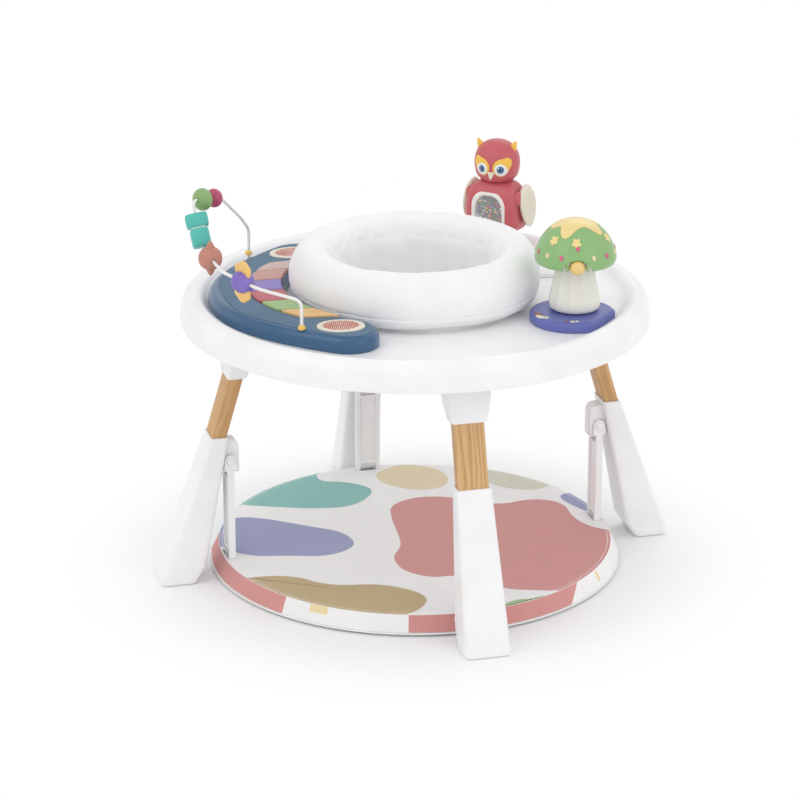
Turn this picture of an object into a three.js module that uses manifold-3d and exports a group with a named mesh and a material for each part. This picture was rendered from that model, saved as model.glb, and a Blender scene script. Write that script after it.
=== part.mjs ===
// Activity jumper: a round activity table on four splayed legs, with a turning soft seat,
// a round deck that hangs from the legs on four arms, and four toys on the table.
// Millimetres, +Z up, the origin on the floor under the middle of the table.
import * as THREE from "three";
import { mergeVertices } from "three/addons/utils/BufferGeometryUtils.js";
import Module from "manifold-3d";

const wasm = await Module();
wasm.setup();

// ---------------------------------------------------------------- driving dimensions
const gap = 0.3; // between pieces that touch
const runningGap = 0.5; // between pieces that slide or turn on each other
const roundSteps = 32; // facets of the large round pieces

const trayRadius = 330;
const trayFloor = 389; // height of the recessed table top
const rimRise = 13; // of the rim above the table top
const trayCrest = trayFloor + rimRise;
const rimWidth = 37; // from the recessed top to the table's edge
const trayInnerFoot = trayRadius - rimWidth; // where the recessed top meets the rim
const trayWall = 3.5;
const skirtDrop = 27; // of the skirt below the table top
const skirtBottom = trayFloor - skirtDrop;
const seatHoleRadius = 149;
const collarHeight = 7; // the raised edge round the seat hole

const legNames = ["front", "right", "back", "left"];
const legAzimuths = [-45, 45, 135, 225];
const legTilt = THREE.MathUtils.degToRad(16.5); // of the post and of the sleeve's travel
const sleeveTop = 213;
const legInset = 41.8; // from the table's edge
const postAxisRadius = trayRadius - legInset; // where the post's centre line passes the sleeve's top
const postWidth = 42;
const postDepth = 20;
const postCorner = 0.16; // share of each half side that a cut corner takes
const postInside = 115; // length of post inside the sleeve at the lowest setting
const bracketDrop = 91; // of the bracket below the table top
const bracketBottom = trayFloor - bracketDrop;
const bracketGrip = 47; // height of post inside the bracket
const sleeveWall = 3;
const sleeveShelf = 94; // underside of the shelf that the post stops on

const pinRadius = 4;
const pinInset = 15.7; // of the hanger pins from the post's centre line at the sleeve's top
const hangerRadius = postAxisRadius - pinInset; // distance of the hanger pins from the middle
const hangerHeight = 175;
const openPivot = 1.2; // clearance of the arm's eye round the hanger pin
const armWidth = 36;
const armThickness = 10;
const cheekRadius = 9.5; // round top of the arm
const housingWidth = 23;
const housingDepth = 13.5; // how far the housing stands in from the hanger pin
const housingTop = 205;
const housingBottom = 157;

const deckBottom = 3;
const deckTop = 28.2;
const deckTopReach = 10.3; // of the deck's top edge beyond the hanger pins
const deckBottomReach = 21.9;
const deckTopRadius = hangerRadius + deckTopReach;
const deckBottomRadius = hangerRadius + deckBottomReach;
const deckPinHeight = 14;
const deckPinRadius = 2.5;
const coverThickness = 1.8;
const framePlate = 3;
const frameInset = 47.5; // of the frame's inner edge from the hanger pins
const frameInnerRadius = hangerRadius - frameInset;
const boardInset = 14.5;
const boardRadius = hangerRadius - boardInset;
const boardThickness = 6;
const springRadius = 8;
const springWire = 0.8;
const springInset = 32.5;
const springCircle = hangerRadius - springInset;
const springTurns = 3;

const cushionReach = 30; // of the cushion beyond the hole in the table
const seatRadius = seatHoleRadius + cushionReach;
const cushionHeight = 86; // above the table top
const seatCrest = trayFloor + cushionHeight;
const openingInset = 30.5; // of the seat's opening from the hole in the table
const seatOpeningRadius = seatHoleRadius - openingInset;
const slingThickness = 2.5;
const slingDepth = 131; // below the table top
const slingBottom = trayFloor - slingDepth;
const legHole = { x: seatOpeningRadius - 52.5, halfX: 38, halfY: 50, top: trayFloor - 44 };

const pianoGap = 5; // from the seat
const pianoInner = seatRadius + pianoGap;
const pianoEndWidth = 82;
const pianoMiddleWidth = 107;
const piano = {
  azimuth: -137,
  endAngle: 53.5,
  inner: pianoInner,
  endOuter: pianoInner + pianoEndWidth,
  middleOuter: pianoInner + pianoMiddleWidth,
};
const pianoHeight = 23;
const pianoTop = trayFloor + pianoHeight;
const keyCount = 6;
const keyPitch = 13; // degrees
const keyFan = { inner: 1.12, outer: 0.88 }; // the keys lean towards the seat
const keyInner = piano.inner + 4;
const keyLength = { middle: 48, end: 34 };
const keyOuter = { middle: keyInner + keyLength.middle, end: keyInner + keyLength.end };
const keyProud = 3;
const keyTravel = 2.5;
const padAzimuthOffset = 50; // of each drum pad from the piano's middle, in degrees
const padRadius = (piano.inner + piano.endOuter) / 2 - 3;
const padHalf = { along: 33, across: 26 };
const padTurn = 33; // of each pad's long side from the crescent's own direction
const padProud = 2;

const wireRadius = 2.3;
const beadClearance = 1;
const beadBore = wireRadius + beadClearance;

const owl = {
  x: -6.5,
  y: trayRadius - 77,
  bodyBottom: trayFloor + 36,
  bodyTop: trayFloor + 109,
};
const mushroom = {
  x: trayRadius - 94,
  y: 27,
  baseTop: trayFloor + 14,
  stemTop: trayFloor + 95,
  capTop: trayFloor + 142,
};
const ball = { radius: 11, reach: 48, height: mushroom.stemTop - 7, azimuth: -60 };
const rail = { x: 100, y: 172, azimuth: 32, length: 74, height: trayFloor + 51 };

// ---------------------------------------------------------------- helpers
const rad = THREE.MathUtils.degToRad;
const v2 = (x, y) => new THREE.Vector2(x, y);
const v3 = (x, y, z) => new THREE.Vector3(x, y, z);
const polar = (r, azimuth, z = 0) => v3(r * Math.cos(rad(azimuth)), r * Math.sin(rad(azimuth)), z);

function solid(geometry) {
  const bare = (geometry.index ? geometry.toNonIndexed() : geometry).clone();
  for (const name of Object.keys(bare.attributes)) {
    if (name !== "position") bare.deleteAttribute(name);
  }
  const merged = mergeVertices(bare, 1e-4);
  return new wasm.Manifold(
    new wasm.Mesh({
      numProp: 3,
      vertProperties: merged.attributes.position.array,
      triVerts: new Uint32Array(merged.index.array),
    }),
  );
}

function geometryOf(manifold) {
  const mesh = manifold.getMesh();
  const geometry = new THREE.BufferGeometry();
  geometry.setAttribute("position", new THREE.BufferAttribute(mesh.vertProperties, 3));
  geometry.setIndex(new THREE.BufferAttribute(mesh.triVerts, 1));
  geometry.computeVertexNormals();
  return geometry;
}

const union = (first, ...rest) => rest.reduce((sum, next) => sum.add(next), first);
const cut = (first, ...rest) => rest.reduce((left, next) => left.subtract(next), first);

// A closed ring or a turned body about Z, from [radius, height] pairs in either order.
function turned(pairs, steps = roundSteps) {
  const onAxis = pairs[0][0] === 0 && pairs.at(-1)[0] === 0;
  const area = pairs.reduce((sum, [r, z], i) => {
    const [nextR, nextZ] = pairs[(i + 1) % pairs.length];
    return sum + r * nextZ - nextR * z;
  }, 0);
  const points = pairs.map(([r, z]) => v2(r, z));
  if (area < 0) points.reverse();
  if (!onAxis) points.push(points[0].clone());
  return new THREE.LatheGeometry(points, steps).rotateX(Math.PI / 2);
}

// An outline of [x, y] pairs in the XY plane, given a height along Z.
function prism(pairs, height, z = 0) {
  const shape = new THREE.Shape(pairs.map(([x, y]) => v2(x, y)));
  const geometry = new THREE.ExtrudeGeometry(shape, { depth: height, bevelEnabled: false });
  return geometry.translate(0, 0, z);
}

// An outline of [x, z] pairs in the XZ plane, given a width along Y and centred on it.
function sidePrism(pairs, width) {
  const geometry = prism(pairs.map(([x, z]) => [x, -z]), width, -width / 2);
  return geometry.rotateX(-Math.PI / 2);
}

// A square of half side 1 with its corners cut off by the given share.
function cutSquare(corner) {
  const inner = 1 - corner;
  return new THREE.Shape([
    v2(1, -inner), v2(1, inner), v2(inner, 1), v2(-inner, 1),
    v2(-1, inner), v2(-1, -inner), v2(-inner, -1), v2(inner, -1),
  ]);
}

// A block whose section changes by level: { z, x0, x1, half } gives its X range and half width.
function taperedBlock(levels, corner) {
  const steps = levels.length - 1;
  const geometry = new THREE.ExtrudeGeometry(cutSquare(corner), {
    depth: steps, steps, bevelEnabled: false,
  });
  const position = geometry.attributes.position;
  for (let i = 0; i < position.count; i++) {
    const level = levels[Math.round(position.getZ(i))];
    const middle = (level.x0 + level.x1) / 2;
    const x = middle + (position.getX(i) * (level.x1 - level.x0)) / 2;
    position.setXYZ(i, x, position.getY(i) * level.half, level.z);
  }
  return geometry;
}

const box = (x0, x1, y0, y1, z0, z1) =>
  new THREE.BoxGeometry(x1 - x0, y1 - y0, z1 - z0).translate(
    (x0 + x1) / 2, (y0 + y1) / 2, (z0 + z1) / 2,
  );
const rodAlongY = (radius, length, x, z, steps = 12) =>
  new THREE.CylinderGeometry(radius, radius, length, steps).translate(x, 0, z);
const rodAlongZ = (radius, z0, z1, steps = 12) =>
  new THREE.CylinderGeometry(radius, radius, z1 - z0, steps)
    .rotateX(Math.PI / 2)
    .translate(0, 0, (z0 + z1) / 2);

// A round bar swept along a curve.
function sweptBar(curve, radius, steps, sides) {
  const section = new THREE.Shape();
  for (let i = 0; i < sides; i++) {
    const turn = (2 * Math.PI * i) / sides;
    const [x, y] = [radius * Math.cos(turn), radius * Math.sin(turn)];
    if (i) section.lineTo(x, y);
    else section.moveTo(x, y);
  }
  return new THREE.ExtrudeGeometry(section, { steps, extrudePath: curve, bevelEnabled: false });
}

const finishes = {
  whitePlastic: { color: 0xf2f2f3, roughness: 0.35 },
  wood: { color: 0xc49a61, roughness: 0.6 },
  steel: { color: 0xd8dadd, roughness: 0.3, metalness: 0.9 },
  fabric: { color: 0xf0eff0, roughness: 0.85 },
  print: { color: 0xdb9a95, roughness: 0.8 },
  blue: { color: 0x3e6f96, roughness: 0.4 },
  red: { color: 0xc75f66, roughness: 0.4 },
  green: { color: 0x97be83, roughness: 0.4 },
  cream: { color: 0xf2f0e6, roughness: 0.45 },
  violet: { color: 0x6b74b8, roughness: 0.4 },
  yellow: { color: 0xf0cf84, roughness: 0.4 },
  teal: { color: 0x52bbb0, roughness: 0.4 },
  pink: { color: 0xb8486a, roughness: 0.4 },
  brownPink: { color: 0xc58674, roughness: 0.4 },
};

function piece(name, shape, finish, parent) {
  const geometry = shape.isBufferGeometry ? geometryOf(solid(shape)) : geometryOf(shape);
  const mesh = new THREE.Mesh(geometry, new THREE.MeshStandardMaterial(finishes[finish]));
  mesh.name = name;
  parent.add(mesh);
  return mesh;
}

const jumper = new THREE.Group();

// ---------------------------------------------------------------- tray
const trayUnder = trayFloor - trayWall;
const collarTop = trayFloor + collarHeight;
piece(
  "tray",
  turned([
    [seatHoleRadius, trayUnder], [seatHoleRadius, collarTop], [seatHoleRadius + 4, collarTop],
    [seatHoleRadius + 6, trayFloor], [trayInnerFoot, trayFloor],
    [trayInnerFoot + 8, trayCrest - 1.5], [trayRadius - 26, trayCrest],
    [trayRadius - 16, trayCrest - 1.2], [trayRadius - 7, trayCrest - 9],
    [trayRadius - 1, trayCrest - 24], [trayRadius, trayCrest - 33],
    [trayRadius - 1.5, skirtBottom], [trayRadius - 1.5 - trayWall, skirtBottom],
    [trayRadius - trayWall, trayCrest - 32], [trayRadius - 1 - trayWall, trayCrest - 26],
    [trayRadius - 9.5, trayCrest - 12], [trayRadius - 18, trayCrest - 1.2 - trayWall],
    [trayInnerFoot + 11, trayCrest - 1.5 - trayWall], [trayInnerFoot + 2, trayUnder],
  ]),
  "whitePlastic",
  jumper,
);

// ---------------------------------------------------------------- legs
// Each leg is drawn with X pointing out from the middle, then turned to its place.
const tan = Math.tan(legTilt);
const cos = Math.cos(legTilt);
const postX = (z) => postAxisRadius - (z - sleeveTop) * tan; // the post's centre line
const postTopHeight = bracketBottom + bracketGrip;
const postBottomHeight = sleeveTop - postInside * cos;

// A straight bar on the leg's tilted centre line, between two heights of that line.
function legBar(zLow, zHigh, grow) {
  const half = (zHigh - zLow) / cos / 2;
  const side = postDepth / 2 + grow;
  const bar = taperedBlock(
    [-half, half].map((z) => ({ z, x0: -side, x1: side, half: postWidth / 2 + grow })),
    postCorner,
  );
  const middle = (zLow + zHigh) / 2;
  return bar.rotateY(-legTilt).translate(postX(middle), 0, middle);
}

const bracketLevels = [
  { z: bracketBottom, inner: 3.5, outer: 3, side: 4 },
  { z: bracketBottom + 20, inner: 6.5, outer: 7, side: 8 },
  { z: skirtBottom - 5, inner: 11, outer: 18, side: 11 },
  { z: trayUnder - gap, inner: 13, outer: 24, side: 13 },
].map(({ z, inner, outer, side }) => ({
  z,
  x0: postX(z) - postDepth / 2 - inner,
  x1: postX(z) + postDepth / 2 + outer,
  half: postWidth / 2 + side,
}));

const sleeveLevels = [
  { z: 0, inner: -49.8, outer: 77.8, side: 9.5 },
  { z: 3, inner: -47.8, outer: 79.6, side: 11 },
  { z: 25, inner: -33.8, outer: 71.5, side: 10.2 },
  { z: sleeveTop, inner: 3.2, outer: 3.2, side: 3.6 },
].map(({ z, inner, outer, side }) => ({
  z,
  x0: postAxisRadius - postDepth / 2 - inner,
  x1: postAxisRadius + postDepth / 2 + outer,
  half: postWidth / 2 + side,
}));
const sleeveCorner = 0.2;
const [, sleeveHeel, sleeveShin, sleeveMouth] = sleeveLevels;

// The sleeve's section between its shin and its mouth.
function sleeveAt(z) {
  const share = (z - sleeveShin.z) / (sleeveMouth.z - sleeveShin.z);
  const mix = (key) => THREE.MathUtils.lerp(sleeveShin[key], sleeveMouth[key], share);
  return { z, x0: mix("x0"), x1: mix("x1"), half: mix("half") };
}
const inset = ({ z, x0, x1, half }, by) => ({ z, x0: x0 + by, x1: x1 - by, half: half - by });

const housingInner = hangerRadius - housingDepth;
const housingChamfer = 6;
const housingOverlap = 1.6; // how far the housing runs into the sleeve's wall
const housingOutline = [
  [housingInner, housingBottom],
  [sleeveAt(housingBottom).x0 + housingOverlap, housingBottom],
  [sleeveAt(housingTop).x0 + housingOverlap, housingTop],
  [housingInner + housingChamfer, housingTop],
  [housingInner, housingTop - housingChamfer],
];

// The rivet that an arm hangs on: a round bar with a low dome at each end.
const rivetReach = armWidth / 2 + runningGap;
const rivetHead = { radius: 6.4, edge: 1, height: 2.6 };
const rivetProfile = [
  [0, -rivetReach - rivetHead.height], [4, -rivetReach - rivetHead.height],
  [rivetHead.radius, -rivetReach - rivetHead.edge], [rivetHead.radius, -rivetReach],
  [pinRadius, -rivetReach], [pinRadius, rivetReach],
  [rivetHead.radius, rivetReach], [rivetHead.radius, rivetReach + rivetHead.edge],
  [4, rivetReach + rivetHead.height], [0, rivetReach + rivetHead.height],
];

// The arm's side outline: a round-topped cheek, a straight stem and a round eye at the foot.
const armEye = 6;
const cheekFoot = 12; // below the hanger pin
function armOutline() {
  const half = armThickness / 2;
  const points = [];
  const arc = (radius, z, from, to, steps) => {
    for (let i = 0; i <= steps; i++) {
      const turn = rad(THREE.MathUtils.lerp(from, to, i / steps));
      points.push([hangerRadius + radius * Math.cos(turn), z + radius * Math.sin(turn)]);
    }
  };
  arc(cheekRadius, hangerHeight, 0, 180, 6);
  points.push([hangerRadius - cheekRadius, hangerHeight - cheekFoot]);
  points.push([hangerRadius - half, hangerHeight - cheekFoot - 4]);
  arc(armEye, deckPinHeight, 180 - 34, 360 + 34, 6);
  points.push([hangerRadius + half, hangerHeight - cheekFoot - 4]);
  points.push([hangerRadius + cheekRadius, hangerHeight - cheekFoot]);
  return points;
}
const forkHalf = housingWidth / 2 + runningGap;
const armForkFloor = housingBottom - 8;
const armNotchTop = deckTop + 9.8;
const [armNear, armFar] = [hangerRadius - 50, hangerRadius + 50];

legNames.forEach((name, i) => {
  const leg = new THREE.Group();
  leg.rotation.z = rad(legAzimuths[i]);
  jumper.add(leg);

  const socket = legBar(bracketBottom - 20, postTopHeight, gap);
  piece(
    "leg_bracket_" + name,
    cut(solid(taperedBlock(bracketLevels, 0.14)), solid(socket)),
    "whitePlastic",
    leg,
  );
  piece("wood_post_" + name, legBar(postBottomHeight, postTopHeight - gap, 0), "wood", leg);

  const shell = solid(taperedBlock(sleeveLevels, sleeveCorner));
  const housing = solid(sidePrism(housingOutline, housingWidth));
  const postHole = solid(legBar(postBottomHeight - runningGap, sleeveTop + 20, runningGap));
  const footHollow = solid(
    taperedBlock(
      [
        { ...inset(sleeveHeel, sleeveWall + 1), z: -1 },
        inset(sleeveShin, sleeveWall + 1),
        inset(sleeveAt(sleeveShelf), sleeveWall + 1),
      ],
      sleeveCorner,
    ),
  );
  const pinHole = solid(
    rodAlongY(pinRadius + gap, housingWidth + 10, hangerRadius, hangerHeight),
  );
  piece(
    "leg_sleeve_" + name,
    cut(union(shell, housing), postHole, footHollow, pinHole),
    "whitePlastic",
    leg,
  );

  const rivet = turned(rivetProfile, 10).rotateX(-Math.PI / 2);
  piece("hanger_pin_" + name, rivet.translate(hangerRadius, 0, hangerHeight), "whitePlastic", leg);

  piece(
    "deck_arm_" + name,
    cut(
      solid(sidePrism(armOutline(), armWidth)),
      solid(box(armNear, armFar, -forkHalf, forkHalf, armForkFloor, hangerHeight + 50)),
      solid(box(armNear, armFar, -forkHalf, forkHalf, -10, armNotchTop)),
      solid(rodAlongY(pinRadius + openPivot, armWidth + 10, hangerRadius, hangerHeight)),
      solid(rodAlongY(deckPinRadius + gap, armWidth + 10, hangerRadius, deckPinHeight, 12)),
    ),
    "whitePlastic",
    leg,
  );
});

// ---------------------------------------------------------------- deck
const lipTop = deckBottom + 2;
const frameTop = deckTop - 6.2;
const deckSlope = (deckBottomRadius - deckTopRadius) / (deckTop - deckBottom);
const deckRadiusAt = (z) => deckBottomRadius - (z - deckBottom) * deckSlope;
const frameSkin = coverThickness + gap + 0.2; // from the cover's outside to the frame
const frameFloor = deckBottom + framePlate;
let deckFrame = solid(
  turned([
    [frameInnerRadius, deckBottom], [deckBottomRadius + 1.2, deckBottom],
    [deckBottomRadius + 1.2, lipTop], [deckRadiusAt(lipTop) - frameSkin, lipTop],
    [deckRadiusAt(frameTop) - frameSkin, frameTop],
    [deckRadiusAt(frameTop) - frameSkin - 2.4, frameTop],
    [deckRadiusAt(frameFloor) - frameSkin - 2.4, frameFloor], [frameInnerRadius, frameFloor],
  ]),
);
const lugHalf = 8.5; // from the arm's pin to the lug's faces, along the radius
for (const azimuth of legAzimuths) {
  const width = housingWidth / 2;
  const lug = box(
    hangerRadius - lugHalf, hangerRadius + lugHalf, -width, width, deckBottom + 1, frameTop - 1,
  );
  const pin = rodAlongY(deckPinRadius, armWidth, hangerRadius, deckPinHeight, 12);
  deckFrame = union(
    deckFrame,
    solid(lug.rotateZ(rad(azimuth))),
    solid(pin.rotateZ(rad(azimuth))),
  );
}
piece("deck_frame", deckFrame, "whitePlastic", jumper);

const boardTop = deckTop - coverThickness - gap;
const boardBottom = boardTop - boardThickness;
piece(
  "deck_board",
  turned([[0, boardBottom], [boardRadius, boardBottom], [boardRadius, boardTop], [0, boardTop]]),
  "wood",
  jumper,
);

const coverHem = lipTop + gap;
const coverUnder = deckTop - coverThickness;
const coverInner = (z) => deckRadiusAt(z) - coverThickness;
const armSlots = legAzimuths.map((azimuth) => {
  const slot = box(
    hangerRadius - armThickness / 2 - 1.2, hangerRadius + armThickness / 2 + 3,
    -armWidth / 2 - 1.2, armWidth / 2 + 1.2, frameTop, deckTop + 5,
  );
  return solid(slot.rotateZ(rad(azimuth)));
});
piece(
  "deck_cover",
  cut(
    solid(
      turned([
        [0, coverUnder], [coverInner(coverUnder), coverUnder],
        [coverInner(coverHem), coverHem], [deckRadiusAt(coverHem), coverHem],
        [deckTopRadius, deckTop], [0, deckTop],
      ]),
    ),
    ...armSlots,
  ),
  "print",
  jumper,
);

class Helix extends THREE.Curve {
  getPoint(t, target = new THREE.Vector3()) {
    const turn = 2 * Math.PI * springTurns * t;
    const low = frameFloor + gap + springWire;
    const high = boardBottom - gap - springWire;
    const rise = THREE.MathUtils.lerp(low, high, t);
    return target.set(springRadius * Math.cos(turn), springRadius * Math.sin(turn), rise);
  }
}
for (let i = 0; i < 4; i++) {
  const spring = sweptBar(new Helix(), springWire, 24, 5);
  const place = polar(springCircle, 90 * i);
  piece("deck_spring_" + (i + 1), spring.translate(place.x, place.y, 0), "steel", jumper);
}

// ---------------------------------------------------------------- seat
const ringInner = seatHoleRadius - 12;
const ringOuter = seatHoleRadius - 2 * runningGap - 5;
const flangeBottom = collarTop + 0.4;
const flangeTop = flangeBottom + 3;
const ringBottom = trayUnder - 9;
piece(
  "seat_ring",
  turned([
    [ringInner, ringBottom], [ringOuter, ringBottom], [ringOuter, flangeBottom],
    [seatHoleRadius + 11, flangeBottom], [seatHoleRadius + 11, flangeTop],
    [ringInner, flangeTop],
  ]),
  "whitePlastic",
  jumper,
);
piece(
  "seat_retainer",
  turned([
    [ringOuter + gap, trayUnder - 5.4], [seatHoleRadius + 13, trayUnder - 5.4],
    [seatHoleRadius + 13, trayUnder - 0.4], [ringOuter + gap, trayUnder - 0.4],
  ]),
  "whitePlastic",
  jumper,
);
const cushionBase = flangeTop + gap;
const cushionSkirt = trayFloor + 1.5;
const cushionInner = seatOpeningRadius + 1.5;
piece(
  "seat_cushion",
  turned([
    [cushionInner + 2, cushionBase], [seatHoleRadius + 12, cushionBase],
    [seatHoleRadius + 12.5, cushionSkirt], [seatRadius - 9, cushionSkirt + 4],
    [seatRadius - 2, cushionSkirt + 16], [seatRadius, cushionSkirt + 32],
    [seatRadius - 4, cushionSkirt + 50], [seatRadius - 14, cushionSkirt + 66],
    [seatRadius - 29, seatCrest - 6], [seatRadius - 41, seatCrest - 1],
    [seatRadius - 52, seatCrest], [cushionInner + 1, seatCrest - 7],
    [cushionInner, seatCrest - 18], [cushionInner, seatCrest - 45],
  ]),
  "fabric",
  jumper,
);
const slingWallFoot = trayFloor + 11;
const slingOutside = [
  [seatOpeningRadius, seatCrest - 20], [seatOpeningRadius, slingWallFoot],
  [seatOpeningRadius - 4.5, trayFloor - 39], [seatOpeningRadius - 16.5, slingBottom + 52],
  [seatOpeningRadius - 34.5, slingBottom + 24], [seatOpeningRadius - 60.5, slingBottom + 6],
  [seatOpeningRadius - 88.5, slingBottom], [0, slingBottom - 1],
];
const slingInside = slingOutside.map(([r, z], i) => {
  if (z >= slingWallFoot) return [r - slingThickness, z];
  const lean = i / (slingOutside.length - 1);
  return [Math.max(0, r - slingThickness * (1 - lean * lean)), z + slingThickness * lean];
});
const holes = [-1, 1].map((side) => {
  const hole = rodAlongZ(1, slingBottom - 20, legHole.top, 20).scale(legHole.halfX, legHole.halfY, 1);
  return solid(hole.translate(side * legHole.x, 0, 0));
});
piece(
  "seat_sling",
  cut(solid(turned([...slingOutside, ...slingInside.reverse()], 24)), ...holes),
  "fabric",
  jumper,
);

// ---------------------------------------------------------------- piano
// A crescent round the seat. Its outline is given by radius against angle from its middle.
const pianoOuter = (angle) => {
  const share = Math.cos((angle / piano.endAngle) * (Math.PI / 2));
  return piano.endOuter + (piano.middleOuter - piano.endOuter) * share * share;
};
const atPiano = (r, angle) => polar(r, piano.azimuth + angle);
function crescent(insetBy, sideSteps, endSteps) {
  const inner = piano.inner + insetBy;
  const endMiddle = (piano.inner + piano.endOuter) / 2;
  const endRadius = (piano.endOuter - piano.inner) / 2 - insetBy;
  const straight = piano.endAngle; // angle at which the round ends begin
  const points = [];
  for (let i = 0; i <= sideSteps; i++) {
    const angle = THREE.MathUtils.lerp(-straight, straight, i / sideSteps);
    points.push(atPiano(pianoOuter(angle) - insetBy, angle));
  }
  const round = (side) => {
    const centre = atPiano(endMiddle, side * straight);
    for (let i = 1; i < endSteps; i++) {
      const turn = (side > 0 ? 0 : 180) + (180 * i) / endSteps;
      points.push(centre.clone().add(polar(endRadius, piano.azimuth + side * straight + turn)));
    }
  };
  round(1);
  for (let i = 0; i <= sideSteps; i++) {
    points.push(atPiano(inner, THREE.MathUtils.lerp(straight, -straight, i / sideSteps)));
  }
  round(-1);
  return points.map((p) => [p.x, p.y]);
}
// The outline of the keys between two angles of the keyboard, grown all round by a margin.
function keyOutline(from, to, steps, grow = 0) {
  const half = (keyPitch * keyCount) / 2;
  const outer = (angle) =>
    keyOuter.middle + (keyOuter.end - keyOuter.middle) * (angle / half) ** 2 + grow;
  const at = (r, angle, i) => {
    const fan = r < (keyInner + keyOuter.end) / 2 ? keyFan.inner : keyFan.outer;
    const side = i === 0 ? -1 : i === steps ? 1 : 0;
    return atPiano(r, angle * fan + side * THREE.MathUtils.radToDeg(grow / r));
  };
  const indices = [...Array(steps + 1).keys()];
  const angles = indices.map((i) => THREE.MathUtils.lerp(from, to, i / steps));
  const points = [
    ...indices.map((i) => at(outer(angles[i]), angles[i], i)),
    ...indices.reverse().map((i) => at(keyInner - grow, angles[i], i)),
  ];
  return points.map((p) => [p.x, p.y]);
}
function oval(halfAlong, halfAcross, steps) {
  return [...Array(steps).keys()].map((i) => {
    const turn = (2 * Math.PI * i) / steps;
    return [halfAcross * Math.cos(turn), halfAlong * Math.sin(turn)];
  });
}

const pianoBottom = trayFloor + gap;
const recessFloor = pianoTop - 8;
const fanHalf = (keyPitch * keyCount) / 2;
const keySide = 0.6; // between the keys and the edge of their recess
const keyRecess = keyOutline(-fanHalf, fanHalf, 12, keySide);
const pads = [-1, 1].map((side) => ({
  side,
  azimuth: piano.azimuth + side * (padAzimuthOffset + padTurn),
  place: atPiano(padRadius, side * padAzimuthOffset),
}));
const padHole = ({ azimuth, place }) =>
  prism(oval(padHalf.along + 0.6, padHalf.across + 0.6, 24), 20, recessFloor)
    .rotateZ(rad(azimuth))
    .translate(place.x, place.y, 0);

// The wire stands in two sockets in the piano, rises and loops out over its outer edge. It is
// made of straight stretches, which the beads turn on, joined by round corners.
const wireCorners = [
  [-31, -96, -10], [-31, -96, 40], [-3, -107, 52], [3, -123, 56], [5, -141.5, 59],
  [18, -147.7, 121], [-16, -156.7, 113], [-27, -170.5, 65], [-21, -178, 38], [-20, -178, -10],
].map(([reach, azimuth, rise]) => polar(piano.middleOuter + reach, azimuth, pianoTop + rise));
const wireBend = 8; // length of each stretch that a corner takes

// A path of straight stretches joined by round corners.
function roundedPath(corners, bend) {
  const path = new THREE.CurvePath();
  let from = corners[0];
  for (let i = 1; i < corners.length - 1; i++) {
    const [before, at, after] = corners.slice(i - 1, i + 2);
    const start = at.clone().add(before.clone().sub(at).setLength(bend));
    const end = at.clone().add(after.clone().sub(at).setLength(bend));
    path.add(new THREE.LineCurve3(from, start));
    path.add(new THREE.QuadraticBezierCurve3(start, at, end));
    from = end;
  }
  path.add(new THREE.LineCurve3(from, corners.at(-1)));
  return path;
}
const wirePath = roundedPath(wireCorners, wireBend);
const wireEnds = [wireCorners[0], wireCorners.at(-1)];
const collarRadius = wireRadius + 2.7;
const collarBottom = pianoTop + gap;

const slab = (insetBy, z0, z1) => solid(prism(crescent(insetBy, 14, 8), z1 - z0, z0));
const sockets = wireEnds.map(({ x, y }) =>
  solid(rodAlongZ(wireRadius + gap, pianoTop - 12, pianoTop + 18, 12).translate(x, y, 0)),
);
piece(
  "piano_base",
  cut(
    union(slab(0, pianoBottom, pianoTop - 6), slab(3, pianoTop - 7, pianoTop)),
    solid(prism(keyRecess, 20, recessFloor)),
    ...pads.map((pad) => solid(padHole(pad))),
    ...sockets,
  ),
  "blue",
  jumper,
);

const keyNames = ["apricot", "green", "red", "purple", "salmon", "pink"];
const keySeam = 0.3; // half of the slit between two keys, in degrees of the keyboard
const keyBottom = recessFloor + keyTravel + 0.5;
keyNames.forEach((colour, i) => {
  const to = fanHalf - keyPitch * i - keySeam;
  const outline = keyOutline(to - keyPitch + 2 * keySeam, to, 3);
  const height = pianoTop + keyProud - keyBottom;
  piece("piano_key_" + colour, prism(outline, height, keyBottom), "yellow", jumper);
});

pads.forEach(({ side, azimuth, place }) => {
  const bottom = recessFloor + keyTravel;
  const pad = prism(oval(padHalf.along, padHalf.across, 24), pianoTop + padProud - bottom, bottom);
  const name = side > 0 ? "drum_pad_front" : "drum_pad_back";
  piece(name, pad.rotateZ(rad(azimuth)).translate(place.x, place.y, 0), "red", jumper);
});

// ---------------------------------------------------------------- bead wire and beads
const collars = wireEnds.map(({ x, y }) =>
  solid(rodAlongZ(collarRadius, collarBottom, collarBottom + 6, 12).translate(x, y, 0)),
);
piece(
  "bead_wire",
  union(solid(sweptBar(wirePath, wireRadius, 80, 6)), ...collars),
  "whitePlastic",
  jumper,
);

// A bead turned about its own bore, from its radius and half length.
const beadSteps = 14;
function egg(radius, half) {
  const outside = [-0.93, -0.7, -0.35, 0, 0.35, 0.7, 0.93].map((share) => [
    radius * Math.sqrt(1 - share * share), half * share,
  ]);
  const ends = [outside.at(-1)[1], outside[0][1]].map((z) => [beadBore, z]);
  return solid(turned([...outside, ...ends], beadSteps));
}
const boreRod = () => solid(rodAlongZ(beadBore, -60, 60, beadSteps));
const wing = (x, y, halfX, halfY, halfZ) =>
  solid(new THREE.SphereGeometry(1, 10, 6).scale(halfX, halfY, halfZ).translate(x, y, 0));
const block = (width, depth, z0, z1) =>
  solid(box(-width / 2, width / 2, -depth / 2, depth / 2, z0, z1));

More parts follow.
